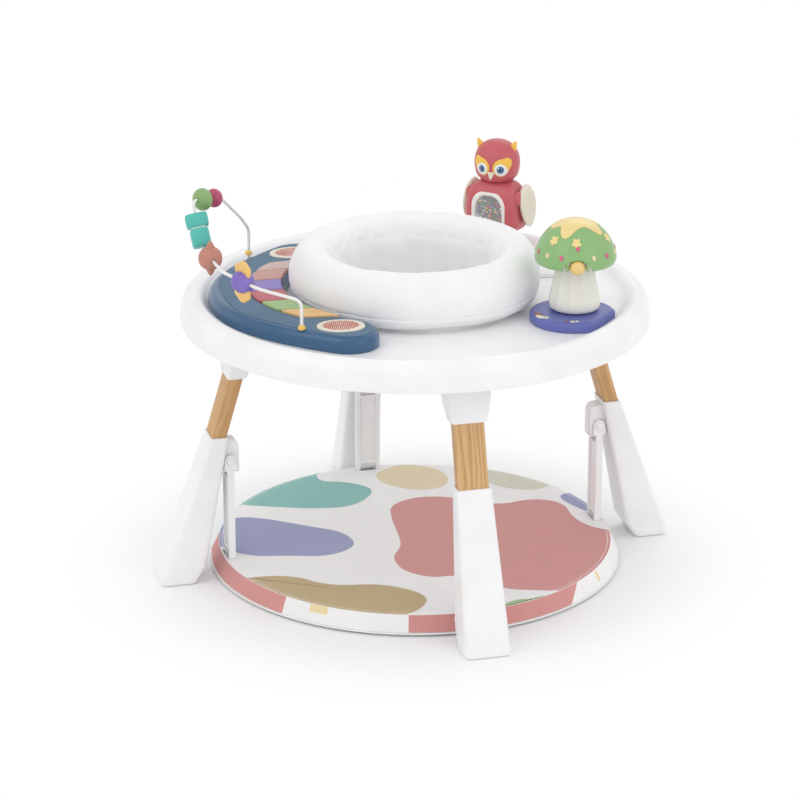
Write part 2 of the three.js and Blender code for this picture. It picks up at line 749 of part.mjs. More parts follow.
// Each bead sits on one straight stretch of the wire, at a share of that stretch.
const beads = [
  {
    name: "bead_butterfly", finish: "violet", stretch: 2, at: 0.42,
    make: () => cut(union(egg(16, 18), wing(0, 17, 3, 11, 17), wing(0, -17, 3, 11, 17)), boreRod()),
  },
  {
    name: "bead_fish", finish: "brownPink", stretch: 3, at: 0.63,
    make: () => cut(union(egg(17, 17), wing(0, 17, 5, 9, 5), wing(0, -17, 5, 9, 5)), boreRod()),
  },
  {
    name: "bead_blocks", finish: "teal", stretch: 4, at: 0.42,
    make: () => cut(union(block(26, 24, -25, 0.5), block(32, 24, 0, 22)), boreRod()),
  },
  { name: "bead_green", finish: "green", stretch: 5, at: 0.37, make: () => egg(16, 12) },
  { name: "bead_magenta", finish: "pink", stretch: 5, at: 0.78, make: () => egg(13.5, 11.5) },
];
for (const bead of beads) {
  const [start, end] = wireCorners.slice(bead.stretch, bead.stretch + 2);
  const centre = start.clone().lerp(end, bead.at);
  const along = end.clone().sub(start).normalize();
  const outward = v3(centre.x, centre.y, 0).normalize();
  const side = new THREE.Vector3().crossVectors(along, outward).normalize();
  const holder = new THREE.Group();
  holder.quaternion.setFromRotationMatrix(
    new THREE.Matrix4().makeBasis(side, along.clone().cross(side), along),
  );
  holder.position.copy(centre);
  jumper.add(holder);
  piece(bead.name, bead.make(), bead.finish, holder);
}

// ---------------------------------------------------------------- owl
const owlGroup = new THREE.Group();
owlGroup.position.set(owl.x, owl.y, 0);
jumper.add(owlGroup);
const spigotRadius = 8;
const spigotRise = 16;
piece(
  "owl_pedestal",
  turned(
    [
      [0, trayFloor + gap], [32, trayFloor + gap], [32, trayFloor + 4], [17, trayFloor + 8],
      [14, owl.bodyBottom - runningGap], [spigotRadius, owl.bodyBottom - runningGap],
      [spigotRadius, owl.bodyBottom + spigotRise], [0, owl.bodyBottom + spigotRise],
    ],
    24,
  ),
  "whitePlastic",
  owlGroup,
);
// The body is drawn with X as its depth, then turned to face the middle of the table.
const owlLevels = [
  { z: owl.bodyBottom, x0: -24, x1: 24, half: 38 },
  { z: owl.bodyBottom + 6, x0: -26.5, x1: 26.5, half: 42 },
  { z: owl.bodyTop - 32, x0: -26.5, x1: 26.5, half: 40 },
  { z: owl.bodyTop - 10, x0: -23, x1: 24, half: 34 },
  { z: owl.bodyTop, x0: -16, x1: 16, half: 24 },
];
const windowHalf = 27;
const windowBottom = owl.bodyBottom + 7;
const windowTop = owl.bodyTop - 15;
const windowDepth = 14;
const windowFace = -26.5;
const windowOutline = (shrink) => {
  const [low, high] = [windowBottom + shrink, windowTop - shrink];
  const half = windowHalf - shrink;
  return [
    [-half, low], [half, low], [half, high - 14], [half - 5, high - 4],
    [half - 16, high], [16 - half, high], [5 - half, high - 4], [-half, high - 14],
  ];
};
const windowBlock = (shrink, x0, x1) =>
  prism(windowOutline(shrink).map(([y, z]) => [y, z]), x1 - x0, 0)
    .rotateX(Math.PI / 2)
    .rotateZ(Math.PI / 2)
    .translate(x0, 0, 0);
const faceInward = Math.PI / 2; // turns the front, at minus X, towards minus Y
const featherWing = (side) =>
  solid(
    new THREE.SphereGeometry(1, 10, 7)
      .scale(21, 9, 33)
      .rotateX(rad(side * 7))
      .translate(7, side * 42, owl.bodyBottom + 40),
  );
const owlBody = cut(
  union(solid(taperedBlock(owlLevels, 0.3)), featherWing(1), featherWing(-1)),
  solid(windowBlock(0, windowFace - 10, windowFace + windowDepth)),
  solid(rodAlongZ(spigotRadius + runningGap, owl.bodyBottom - 5, owl.bodyBottom + 17, 16)),
  solid(rodAlongZ(spigotRadius + runningGap, owl.bodyTop - 11, owl.bodyTop + 5, 16)),
);
const facing = new THREE.Group();
facing.rotation.z = faceInward;
owlGroup.add(facing);
piece("owl_body", owlBody, "red", facing);
piece(
  "owl_window",
  windowBlock(gap, windowFace - 1.5, windowFace + windowDepth - gap),
  "whitePlastic",
  facing,
);
const headBottom = owl.bodyTop + runningGap;
const ear = (side) =>
  solid(
    new THREE.ConeGeometry(6, 19, 6)
      .rotateX(Math.PI / 2)
      .rotateX(rad(-side * 24))
      .translate(-2, side * 27, headBottom + 50),
  );
const skull = solid(
  turned(
    [
      [0, 0], [25, 0], [31, 8], [34, 22], [33, 35], [28, 47], [18, 56], [8, 58.5], [0, 59],
    ],
    18,
  )
    .scale(0.9, 1, 1)
    .translate(0, 0, headBottom),
);
const headSpigot = solid(rodAlongZ(spigotRadius, owl.bodyTop - 10, headBottom + 4, 16));
piece("owl_head", union(skull, ear(1), ear(-1), headSpigot), "red", facing);

// ---------------------------------------------------------------- mushroom
const mushroomGroup = new THREE.Group();
mushroomGroup.position.set(mushroom.x, mushroom.y, 0);
jumper.add(mushroomGroup);
const plateRadius = 59;
const plateOffset = { x: 2, y: -9 }; // of the plate's middle from the stem
const plateFlat = 48; // from the plate's middle to its flat side, next to the table's rim
const plateOutline = (shrink) =>
  oval(plateRadius - shrink, plateRadius - shrink, 28).map(([x, y]) => [
    Math.min(x, plateFlat - shrink), y,
  ]);
const plate = (shrink, z0, z1) =>
  solid(prism(plateOutline(shrink), z1 - z0, z0).translate(plateOffset.x, plateOffset.y, 0));
piece(
  "mushroom_base",
  union(
    plate(0, trayFloor + gap, mushroom.baseTop - 3),
    plate(2.5, mushroom.baseTop - 4, mushroom.baseTop),
  ),
  "violet",
  mushroomGroup,
);
const stemBottom = mushroom.baseTop + gap;
const capHeight = 59;
const capRim = mushroom.capTop - capHeight;
const spigotTop = mushroom.stemTop + 17;
piece(
  "mushroom_stem",
  turned(
    [
      [0, stemBottom], [29, stemBottom], [34.5, stemBottom + 4], [36, stemBottom + 12],
      [34, stemBottom + 25], [28.5, stemBottom + 50], [25.5, stemBottom + 68],
      [24.5, mushroom.stemTop], [spigotRadius, mushroom.stemTop], [spigotRadius, spigotTop],
      [0, spigotTop],
    ],
    24,
  ),
  "cream",
  mushroomGroup,
);
const capOutside = [
  [0, capHeight], [16, 57], [30, 51], [42, 40], [50, 28], [55, 15], [56.5, 5], [54, 0],
].map(([r, z]) => [r, capRim + z]);
const capInside = [
  [50.5, 0], [51.5, 8], [46.5, 24], [38, 36], [26, 45], [12, 48],
].map(([r, z]) => [r, capRim + z]);
const hubBottom = mushroom.stemTop + runningGap;
const capShell = solid(
  turned(
    [
      ...capOutside, ...capInside, [12, hubBottom], [spigotRadius + runningGap, hubBottom],
      [spigotRadius + runningGap, spigotTop + runningGap], [0, spigotTop + runningGap],
    ],
    24,
  ),
);
const capFull = solid(turned([...capOutside, [0, capRim]], 24));
// The notch, the two ears and the ball are drawn facing along X and turned to the front.
const turnToBall = (geometry) => geometry.rotateZ(rad(ball.azimuth));
const notchRadius = 21;
const notch = solid(
  turnToBall(
    rodAlongZ(notchRadius, 30, 80, 24).rotateY(Math.PI / 2).translate(0, 0, capRim - 4),
  ),
);
const earInner = ball.radius + 1;
const ears = [-1, 1].map((side) => {
  const [y0, y1] = side > 0 ? [earInner, earInner + 3.5] : [-earInner - 3.5, -earInner];
  const plateEar = box(ball.reach - 5, ball.reach + 5, y0, y1, ball.height - 5, capRim + 40);
  return solid(turnToBall(plateEar)).intersect(capFull);
});
const axleRadius = 2.2;
const axleHole = solid(
  turnToBall(rodAlongY(axleRadius + gap, 60, ball.reach, ball.height, 12)),
);
piece(
  "mushroom_cap",
  cut(union(cut(capShell, notch), ...ears), axleHole),
  "green",
  mushroomGroup,
);
const ballSolid = union(
  solid(new THREE.SphereGeometry(ball.radius, 14, 9).translate(ball.reach, 0, ball.height)),
  solid(rodAlongY(axleRadius, 2 * (earInner + 4.5), ball.reach, ball.height, 12)),
);
const ballFacing = new THREE.Group();
ballFacing.rotation.z = rad(ball.azimuth);
mushroomGroup.add(ballFacing);
piece("mushroom_ball", ballSolid, "yellow", ballFacing);

// ---------------------------------------------------------------- ring rail
const railGroup = new THREE.Group();
railGroup.position.set(rail.x, rail.y, 0);
railGroup.rotation.z = rad(rail.azimuth);
jumper.add(railGroup);
const railBar = 2.4;
const railBend = 9;
const railFoot = trayFloor + 4;
const railPath = roundedPath(
  [
    v3(0, 0, railFoot), v3(0, 0, rail.height),
    v3(rail.length, 0, rail.height), v3(rail.length, 0, railFoot),
  ],
  railBend,
);
const railPlate = box(-9, rail.length + 9, -11, 11, trayFloor + gap, railFoot + 2);
piece(
  "ring_rail",
  union(solid(sweptBar(railPath, railBar, 36, 6)), solid(railPlate)),
  "whitePlastic",
  railGroup,
);
const ringColours = ["green", "blue", "yellow", "pink"];
const ringPitch = 9;
ringColours.forEach((colour, i) => {
  const bore = railBar + 0.8;
  const ring = turned(
    [[bore, -3.6], [8.5, -3.6], [10.5, -1.6], [10.5, 1.6], [8.5, 3.6], [bore, 3.6]],
    12,
  );
  const place = railBend + 5 + i * ringPitch;
  piece("ring_" + colour, ring.rotateY(Math.PI / 2).translate(place, 0, rail.height), colour, railGroup);
});

export default jumper;
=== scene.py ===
# %% [markdown]
# # A baby's activity jumper
# A round white table stands on four splayed legs. A soft seat turns in its middle, a round
# deck hangs under it on four arms, and there are four toys on top: a piano with a bead wire,
# an owl, a mushroom and a rail of rings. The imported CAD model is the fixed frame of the
# scene. It says where each piece is, and each cell below draws one piece's looks around it.

# %% Load the frame
import bpy
import numpy as np
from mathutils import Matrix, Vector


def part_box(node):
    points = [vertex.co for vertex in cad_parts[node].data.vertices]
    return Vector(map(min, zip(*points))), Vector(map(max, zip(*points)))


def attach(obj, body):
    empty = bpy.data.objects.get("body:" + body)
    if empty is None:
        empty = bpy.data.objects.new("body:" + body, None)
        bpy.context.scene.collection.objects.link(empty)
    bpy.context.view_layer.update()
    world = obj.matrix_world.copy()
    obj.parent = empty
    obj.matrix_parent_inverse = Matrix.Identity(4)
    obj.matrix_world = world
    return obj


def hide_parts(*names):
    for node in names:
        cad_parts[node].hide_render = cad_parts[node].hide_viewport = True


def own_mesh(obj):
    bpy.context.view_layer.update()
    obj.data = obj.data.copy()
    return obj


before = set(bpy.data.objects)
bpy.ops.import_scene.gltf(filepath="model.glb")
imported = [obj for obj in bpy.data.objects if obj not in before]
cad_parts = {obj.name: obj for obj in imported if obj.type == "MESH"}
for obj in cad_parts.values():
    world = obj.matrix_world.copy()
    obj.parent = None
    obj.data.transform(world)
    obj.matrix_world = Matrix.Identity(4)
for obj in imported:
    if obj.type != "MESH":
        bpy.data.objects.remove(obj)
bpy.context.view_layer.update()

# %% [markdown]
# ## From arrays to meshes
# Nearly every piece is a stack of closed outlines, like the hoops of a barrel. A hoop is a
# row of points, so a whole surface is one array of rows by columns by three. Blender could
# make many of them with its own primitives, but an array keeps the formula in sight.

# %% Hoops to a closed skin
mm = 0.001


def skin(rows, start="flat", end="flat"):
    """Points and faces of a stack of closed outlines, shape (rows, columns, 3). Each pair of
    neighbouring rows is joined by quads. An end is "flat" for one lid face, "point" for a fan
    to the outline's middle, or "ring" at both ends where the last row meets the first."""
    rows = np.asarray(rows, float)
    n, m = rows.shape[:2]
    index = np.arange(n * m).reshape(n, m)
    below, above = (index, np.roll(index, -1, 0)) if start == "ring" else (index[:-1], index[1:])
    quads = np.stack([below, np.roll(below, -1, 1), np.roll(above, -1, 1), above], -1)
    points, faces = rows.reshape(-1, 3), quads.reshape(-1, 4).tolist()
    for side, kind in ((0, start), (-1, end)):
        loop = index[side] if side else index[side][::-1]
        if kind == "flat":
            faces.append(loop.tolist())
        elif kind == "point":
            hub = np.full(m, len(points))
            points = np.vstack([points, rows[side].mean(0)])
            faces += np.stack([loop, np.roll(loop, -1), hub], -1).tolist()
    return points, faces


def together(*parts):
    """Several (points, faces) as one: each part's face numbers move up by the points before."""
    starts = np.cumsum([0] + [len(points) for points, _ in parts])
    faces = [[i + k for i in face] for k, (_, fs) in zip(starts, parts) for face in fs]
    return np.vstack([points for points, _ in parts]), faces


def outward(points, faces):
    """The faces turned to point out, if the signed volume of the fans from each face's first
    corner is negative."""
    total = 0.0
    for size in {len(f) for f in faces}:
        ring = points[np.array([f for f in faces if len(f) == size])]
        for k in range(1, size - 1):
            cross = np.cross(ring[:, k], ring[:, k + 1])
            total += float(np.einsum("ij,ij->", ring[:, 0], cross))
    return faces if total > 0 else [face[::-1] for face in faces]


def lay(name, parts, finish, sharp=35, bevel=0.0, stations=None):
    """A mesh object in millimetres from one or more closed skins. Edges over sharp degrees
    stay crisp, and a bevel in mm rounds them. stations is one colour or position per point,
    kept as the attribute "along"."""
    parts = parts if isinstance(parts, list) else [parts]
    points, faces = together(*[(p, outward(p, f)) for p, f in parts])
    mesh = bpy.data.meshes.new(name)
    mesh.from_pydata((points * mm).tolist(), [], faces)
    mesh.polygons.foreach_set("use_smooth", np.ones(len(mesh.polygons), bool))
    mesh.set_sharp_from_angle(angle=np.radians(sharp))
    if stations is not None:
        along = mesh.attributes.new("along", "FLOAT_VECTOR", "POINT")
        along.data.foreach_set("vector", np.asarray(stations, np.float32).ravel())
    piece = bpy.data.objects.new(name, mesh)
    bpy.context.scene.collection.objects.link(piece)
    mesh.materials.append(finish)
    if bevel:
        rounding = piece.modifiers.new("rounding", "BEVEL")
        rounding.width = bevel * mm
        rounding.segments = 3
        rounding.limit_method = "ANGLE"
        rounding.angle_limit = np.radians(sharp)
        rounding.harden_normals = True
    return piece


def settle(piece):
    """Turns a piece's modifiers into plain mesh."""
    graph = bpy.context.evaluated_depsgraph_get()
    mesh = bpy.data.meshes.new_from_object(piece.evaluated_get(graph))
    piece.modifiers.clear()
    piece.data = mesh
    return piece


def carve(piece, *tools):
    """Cuts closed skins, in millimetres, out of a piece."""
    for tool in tools:
        cutter = lay("tool", tool, piece.data.materials[0])
        knife = piece.modifiers.new("knife", "BOOLEAN")
        knife.operation = "DIFFERENCE"
        knife.solver = "EXACT"
        knife.object = cutter
        settle(piece)
        bpy.data.objects.remove(cutter)
    piece.data.set_sharp_from_angle(angle=np.radians(35))
    return piece


def fit(piece, body, slot, *nodes):
    """Fixes a piece to its CAD body and hides the CAD nodes it stands for. slot is not used."""
    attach(piece, body)
    if nodes:
        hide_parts(*nodes)
    return piece


# %% [markdown]
# ## Outlines and profiles
# Moulded plastic has no sharp corner, so the corners of each profile are rounded before it is
# turned or stacked. One function does that for every profile, open or closed.

# %% Rounded lines, hoops and turned bodies
def rounded(corners, cut, steps=5, closed=False):
    """A line of corners with each corner swapped for a curve from a point cut before it to a
    point cut after it: (1-t)^2 before + 2t(1-t) corner + t^2 after."""
    c = np.asarray(corners, float)
    cut = np.broadcast_to(np.asarray(cut, float), len(c)).reshape(-1, 1)
    back, ahead = np.roll(c, 1, 0) - c, np.roll(c, -1, 0) - c
    far = [np.linalg.norm(side, axis=1, keepdims=True) for side in (back, ahead)]
    a = c + back / far[0] * np.minimum(cut, far[0] * 0.48)
    b = c + ahead / far[1] * np.minimum(cut, far[1] * 0.48)
    t = np.linspace(0, 1, steps + 1)[None, :, None]
    bends = (1 - t) ** 2 * a[:, None] + 2 * t * (1 - t) * c[:, None] + t**2 * b[:, None]
    if closed:
        return bends.reshape(-1, c.shape[1])
    return np.vstack([c[:1], bends[1:-1].reshape(-1, c.shape[1]), c[-1:]])


def turned(profile, steps=96, middle=(0, 0), start="flat", end="flat", wobble=None):
    """A profile of (radius, height) carried round a vertical axis: x = r cos a, y = r sin a.
    wobble(a, z) multiplies the radius."""
    r, z = np.asarray(profile, float).T
    a = np.linspace(0, 2 * np.pi, steps, endpoint=False)
    reach = r[:, None] * (1 if wobble is None else wobble(a[None, :], z[:, None]))
    x, y = reach * np.cos(a) + middle[0], reach * np.sin(a) + middle[1]
    return skin(np.stack([x, y, np.broadcast_to(z[:, None], x.shape)], -1), start, end)


def hoop(half_x, half_y, corner, steps=5):
    """A rectangle with rounded corners, counter-clockwise in the XY plane."""
    x, y = half_x, half_y
    return rounded([(x, -y), (x, y), (-x, y), (-x, -y)], corner, steps, closed=True)


def stack(hoops, heights):
    """Flat outlines at given heights, as rows for a skin."""
    return np.array([np.column_stack([h, np.full(len(h), z)]) for h, z in zip(hoops, heights)])


def spin(points, degrees, middle=(0, 0)):
    """Points turned about a vertical axis through the middle."""
    a = np.radians(degrees)
    turn = np.array([[np.cos(a), -np.sin(a), 0], [np.sin(a), np.cos(a), 0], [0, 0, 1]])
    centre = np.array([*middle, 0])
    return (np.asarray(points) - centre) @ turn.T + centre


def spun(part, degrees, middle=(0, 0)):
    return spin(part[0], degrees, middle), part[1]


def polar(r, degrees):
    return np.array([r * np.cos(np.radians(degrees)), r * np.sin(np.radians(degrees))])


def box_of(*nodes):
    """Lowest and highest corner of CAD nodes together, in millimetres."""
    corners = np.array([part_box(node) for node in nodes]) / mm
    return corners[:, 0].min(0), corners[:, 1].max(0)


# %% [markdown]
# ## Finishes
# Moulded plastic looks even from afar, but its gloss changes a little over the surface and
# its skin has a very fine orange-peel. A noise texture drives both. Flat paint would be
# quicker, and it would look like paper under the lamps.

# %% Moulded plastic
def linear(colour):
    """Screen values from 0 to 255 as the linear light that shaders work in."""
    c = np.array(colour) / 255
    return (*np.where(c <= 0.04045, c / 12.92, ((c + 0.055) / 1.055) ** 2.4), 1.0)


def new_finish(name, roughness, **sockets):
    material = bpy.data.materials.new(name)
    material.use_nodes = True
    nodes, links = material.node_tree.nodes, material.node_tree.links
    shader = nodes["Principled BSDF"]
    shader.inputs["Roughness"].default_value = roughness
    for socket, value in sockets.items():
        shader.inputs[socket].default_value = value
    place = nodes.new("ShaderNodeTexCoord").outputs["Object"]
    return material, nodes, links, shader, place


def noise(nodes, links, place, scale, detail=3.0):
    texture = nodes.new("ShaderNodeTexNoise")
    texture.inputs["Scale"].default_value = scale
    texture.inputs["Detail"].default_value = detail
    links.new(place, texture.inputs["Vector"])
    return texture.outputs["Fac"]


def ramp(nodes, links, value, stops):
    """A colour ramp with (position, colour) stops in screen values."""
    node = nodes.new("ShaderNodeValToRGB")
    band = node.color_ramp
    while len(band.elements) < len(stops):
        band.elements.new(0.5)
    for element, (position, colour) in zip(band.elements, stops):
        element.position = position
        element.color = linear(colour)
    links.new(value, node.inputs["Fac"])
    return node.outputs["Color"]


def spread(nodes, links, value, low, high):
    """A value from 0 to 1 carried over to the range low to high."""
    node = nodes.new("ShaderNodeMapRange")
    node.inputs["To Min"].default_value = low
    node.inputs["To Max"].default_value = high
    links.new(value, node.inputs["Value"])
    return node.outputs["Result"]


def bump(nodes, links, shader, height, depth):
    """Depth is in metres."""
    node = nodes.new("ShaderNodeBump")
    node.inputs["Distance"].default_value = depth
    links.new(height, node.inputs["Height"])
    links.new(node.outputs["Normal"], shader.inputs["Normal"])


def moulded(name, colour, roughness=0.38, coat=0.0, depth=0.00006):
    """Plastic whose colour drifts by two per cent and whose gloss drifts by a tenth."""
    material, nodes, links, shader, place = new_finish(name, roughness)
    shader.inputs["Coat Weight"].default_value = coat
    shader.inputs["Coat Roughness"].default_value = 0.25
    drift = noise(nodes, links, place, 18)
    darker = [c * 0.975 for c in colour]
    links.new(ramp(nodes, links, drift, [(0.3, darker), (0.7, colour)]), shader.inputs["Base Color"])
    links.new(
        spread(nodes, links, noise(nodes, links, place, 60), roughness - 0.05, roughness + 0.05),
        shader.inputs["Roughness"],
    )
    bump(nodes, links, shader, noise(nodes, links, place, 1400, 2), depth)
    return material


white = moulded("white_satin_plastic", (246, 246, 247), 0.34, 0.2)
white_grained = moulded("white_grained_plastic", (244, 244, 245), 0.5, 0, 0.0001)
print("white finishes:", white.name, white_grained.name)

# %% [markdown]
# ## The tray
# The table top is one vacuum-formed dish with a broad rounded rim and a skirt. It could be a
# plate with a bevel, but a turned profile gives the exact roll of the rim, the slope down to
# the recessed floor and the small collar round the seat hole.

# %% Tray
low, high = box_of("tray")
rim = high[0]
crest, hem = high[2], low[2]
hole = box_of("seat_ring")[1][0] - 11
floor = box_of("mushroom_base")[0][2] - 0.3
wall = 3.5
tray_profile = np.vstack([
    rounded([
        (hole, floor - wall), (hole, floor + 7), (hole + 4, floor + 7), (hole + 6.5, floor),
        (rim - 40, floor), (rim - 29, crest - 0.5), (rim - 15, crest), (rim - 3.5, crest - 10),
        (rim, crest - 31), (rim - 1.5, hem), (rim - 1.5 - wall, hem),
    ], [1, 1.5, 1.5, 3, 9, 9, 12, 12, 12, 1.2, 1.2], 7),
    rounded([
        (rim - wall, crest - 31), (rim - 3.5 - wall, crest - 12), (rim - 16, crest - wall),
        (rim - 27, crest - wall - 0.5), (rim - 38, floor - wall),
    ], 7, 5),
])
tray = lay("tray_top", turned(tray_profile, 192, start="ring", end="ring"), white)
fit(tray, "table", "white_plastic", "tray")
print("tray", round(2 * rim), "mm wide, rim", round(crest), "mm high")

# %% [markdown]
# ## Wood for the posts
# The posts are solid oak, oiled and not varnished. Wood grain is long along the post and
# short across it, so the pattern needs the post's own directions. Each post keeps them in an
# attribute: across, through and along, in metres. Stretching those before the noise draws
# long fibres, and a slower noise bends the darker rings into gentle arches.

# %% Oak
def oak(name, light, mid, dark):
    material, nodes, links, shader, _ = new_finish(name, 0.5)
    along = nodes.new("ShaderNodeAttribute")
    along.attribute_name = "along"

    def stretched(scale):
        mapping = nodes.new("ShaderNodeMapping")
        mapping.inputs["Scale"].default_value = scale
        links.new(along.outputs["Vector"], mapping.inputs["Vector"])
        return mapping.outputs["Vector"]

    rings = nodes.new("ShaderNodeTexWave")
    rings.wave_type = "BANDS"
    rings.bands_direction = "X"
    rings.inputs["Scale"].default_value = 44
    rings.inputs["Distortion"].default_value = 9
    rings.inputs["Detail"].default_value = 3
    rings.inputs["Detail Scale"].default_value = 1.1
    links.new(stretched((1, 1, 0.11)), rings.inputs["Vector"])
    fibres = noise(nodes, links, stretched((900, 900, 26)), 1.0, 4)
    blend = nodes.new("ShaderNodeMix")
    blend.inputs["Factor"].default_value = 0.66
    links.new(rings.outputs["Fac"], blend.inputs["A"])
    links.new(fibres, blend.inputs["B"])
    colour = ramp(nodes, links, blend.outputs["Result"], [(0.22, dark), (0.5, mid), (0.78, light)])
    links.new(colour, shader.inputs["Base Color"])
    links.new(spread(nodes, links, fibres, 0.42, 0.62), shader.inputs["Roughness"])
    bump(nodes, links, shader, fibres, 0.0002)
    return material


post_oak = oak("oiled_oak", (222, 184, 134), (208, 166, 114), (186, 140, 90))

# %% [markdown]
# ## Legs
# Each leg is a bracket under the tray, an oak post and a plastic sleeve that widens to a foot.
# The sleeve slides on the post to set the table's height. All three are stacks of rounded
# rectangles that change size by height. The heights and widths come from the CAD node's own
# corners, read in the leg's directions: X out from the middle, Y across.

# %% Reading a leg's sections from the frame
leg_turn = {"front": -45, "right": 45, "back": 135, "left": 225}


def leg_points(node, leg):
    """A CAD node's points in the leg's directions, in millimetres."""
    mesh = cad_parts[node].data
    flat = np.empty(len(mesh.vertices) * 3)
    mesh.vertices.foreach_get("co", flat)
    matrix = np.array(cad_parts[node].matrix_world)
    world = flat.reshape(-1, 3) @ matrix[:3, :3].T + matrix[:3, 3]
    return spin(world / mm, -leg_turn[leg])


def sections(points, heights):
    """(inner, outer, half width) of the points at each height."""
    found = [points[abs(points[:, 2] - z) < 0.3] for z in heights]
    return np.array([(p[:, 0].min(), p[:, 0].max(), abs(p[:, 1]).max()) for p in found])


def between(table, levels, at):
    """Sections at any height, in a straight line between the known ones."""
    return np.column_stack([np.interp(at, levels, column) for column in table.T])


def tapered(table, heights, corner, start="flat", end="flat"):
    """A stack of rounded rectangles, one per section."""
    hoops = [hoop((b - a) / 2, w, c) + [(a + b) / 2, 0] for (a, b, w), c in zip(table, corner)]
    return skin(stack(hoops, heights), start, end)


# %% Brackets, posts and sleeves
sleeve_levels = np.array([0, 3, 25, box_of("leg_sleeve_right")[1][2]])
for leg, azimuth in leg_turn.items():
    points = leg_points("leg_bracket_" + leg, leg)
    foot, top = points[:, 2].min(), points[:, 2].max()
    levels = [foot, foot + 20, foot + 59, top]
    known = sections(points, levels)
    at = np.array([foot, foot + 0.8, foot + 2.4, foot + 12, foot + 20, foot + 30, foot + 59, top])
    table = between(known, levels, at)
    table[0] += [1.8, -1.8, -1.8]
    table[1] += [0.6, -0.6, -0.6]
    bracket = lay("bracket_" + leg, spun(tapered(table, at, [5] * 8), azimuth), white)
    fit(bracket, "table", "white_plastic", "leg_bracket_" + leg)

    points = leg_points("wood_post_" + leg, leg)
    halves = points[points[:, 2] < points[:, 2].mean()], points[points[:, 2] > points[:, 2].mean()]
    ends = [half.mean(0) for half in halves]
    lean = (ends[1] - ends[0]) / np.linalg.norm(ends[1] - ends[0])
    across = np.array([0, 1, 0])
    out = np.cross(across, lean)
    length = np.linalg.norm(ends[1] - ends[0])
    outline = hoop(10, 21, 3.2, 6)
    run = np.linspace(0, length, 60)
    rows = ends[0] + run[:, None, None] * lean
    rows = rows + outline[None, :, :1] * out + outline[None, :, 1:] * across
    flat = np.broadcast_to(outline, (60, *outline.shape))
    shift = 0.13 * azimuth / 45
    own = np.dstack([
        flat[:, :, 1] * mm + shift, flat[:, :, 0] * mm, np.repeat(run[:, None] * mm, len(outline), 1),
    ])
    post = lay("post_" + leg, spun(skin(rows), azimuth), post_oak, stations=own.reshape(-1, 3))
    fit(post, "table", "post_wood", "wood_post_" + leg)

    points = leg_points("leg_sleeve_" + leg, leg)
    known = sections(points, sleeve_levels)
    tip = sleeve_levels[-1]
    at = np.concatenate([[0, 0.7, 2.2, 5, 10, 17, 25], np.linspace(45, tip - 3, 9), [tip - 1, tip]])
    table = between(known, sleeve_levels, at)
    table[0] += [1.5, -2.0, -2.0]
    table[1] += [0.5, -0.7, -0.7]
    table[-1] += [1, -1, -1]
    heel = np.interp(at, [0, 25], [0, 1])
    corner = np.interp(at, [0, 60, tip], [9, 8, 6])
    outside = tapered(table, at, corner)[0].reshape(len(at), -1, 3)
    centre = ends[0] + lean * (tip - ends[0][2]) / lean[2]
    pocket = hoop(10.5 / lean[2], 21.5, 3.4)
    inside = []
    for drop in (0, 1, 14):
        middle = centre - lean * drop / lean[2]
        inside.append(np.column_stack([pocket + middle[:2], np.full(len(pocket), tip - drop)]))
    shell = skin(np.vstack([outside, np.array(inside)]))

    pin = leg_points("hanger_pin_" + leg, leg).mean(0)
    top_z, low_z = pin[2] + 30, pin[2] - 18
    inner = pin[0] - 13.5
    wall_at = between(known, sleeve_levels, [low_z, top_z])[:, 0] + 1.6
    side = rounded([
        (inner, low_z), (wall_at[0], low_z), (wall_at[1], top_z),
        (inner + 5, top_z), (inner, top_z - 8),
    ], [2.5, 0.5, 0.5, 6, 4], 4, closed=True)
    widths = [(-11.5, 1.2), (-10.3, 0), (10.3, 0), (11.5, 1.2)]
    middle = side.mean(0)
    rows = [
        np.column_stack([(side - middle) * (1 - cut / 20) + middle, np.full(len(side), y)])
        for y, cut in widths
    ]
    housing = skin(np.array(rows)[:, :, [0, 2, 1]])

    dimples = []
    for y in (-1, 1):
        row = between(known, sleeve_levels, [36])[0]
        a = np.linspace(0, 2 * np.pi, 20, endpoint=False)
        face = y * (row[2] - 0.2)
        rings = [(3.4, 0), (3.2, 0.7), (2.2, 0.9), (1.9, 0.2), (1.5, 0.1)]
        dimples.append(skin(np.array([
            np.column_stack([
                row[0] + 9 + r * np.cos(a), np.full(20, face + y * h), 36 + r * np.sin(a),
            ]) for r, h in rings
        ])))
    sleeve = lay("sleeve_" + leg, [spun(p, azimuth) for p in [shell, housing, *dimples]], white)
    fit(sleeve, "sleeve_" + leg, "white_plastic", "leg_sleeve_" + leg)
print("posts", round(length), "mm long, sleeves", round(float(tip)), "mm tall")

# %% [markdown]
# ## Hanger pins and deck arms
# The deck hangs on four flat arms. Each arm's top ends in two round-headed cheeks that reach
# round the sleeve's housing, and a dome-headed pin goes through both. At the foot two prongs
# drop through slots in the deck. Flat moulded plates are drawn as side outlines with a
# thickness, and a small bevel softens them as the mould does.

# %% Pins and arms
pin_profile = rounded([
    (0.01, -21), (4.2, -20.6), (6.5, -18.6), (6.5, -17.9), (4, -17.9), (4, 17.9), (6.5, 17.9),
    (6.5, 18.6), (4.2, 20.6), (0.01, 21),
], [0, 2, 1.2, 0.1, 0.1, 0.1, 0.1, 1.2, 2, 0], 4)


def along_y(profile, middle, steps=32):
    """A profile of (radius, reach) carried round an axis along Y through the middle."""
    r, y = np.asarray(profile).T
    a = np.linspace(0, 2 * np.pi, steps, endpoint=False)
    x = middle[0] + r[:, None] * np.cos(a)
    z = middle[2] + r[:, None] * np.sin(a)
    return skin(np.stack([x, np.broadcast_to(y[:, None], x.shape), z], -1))


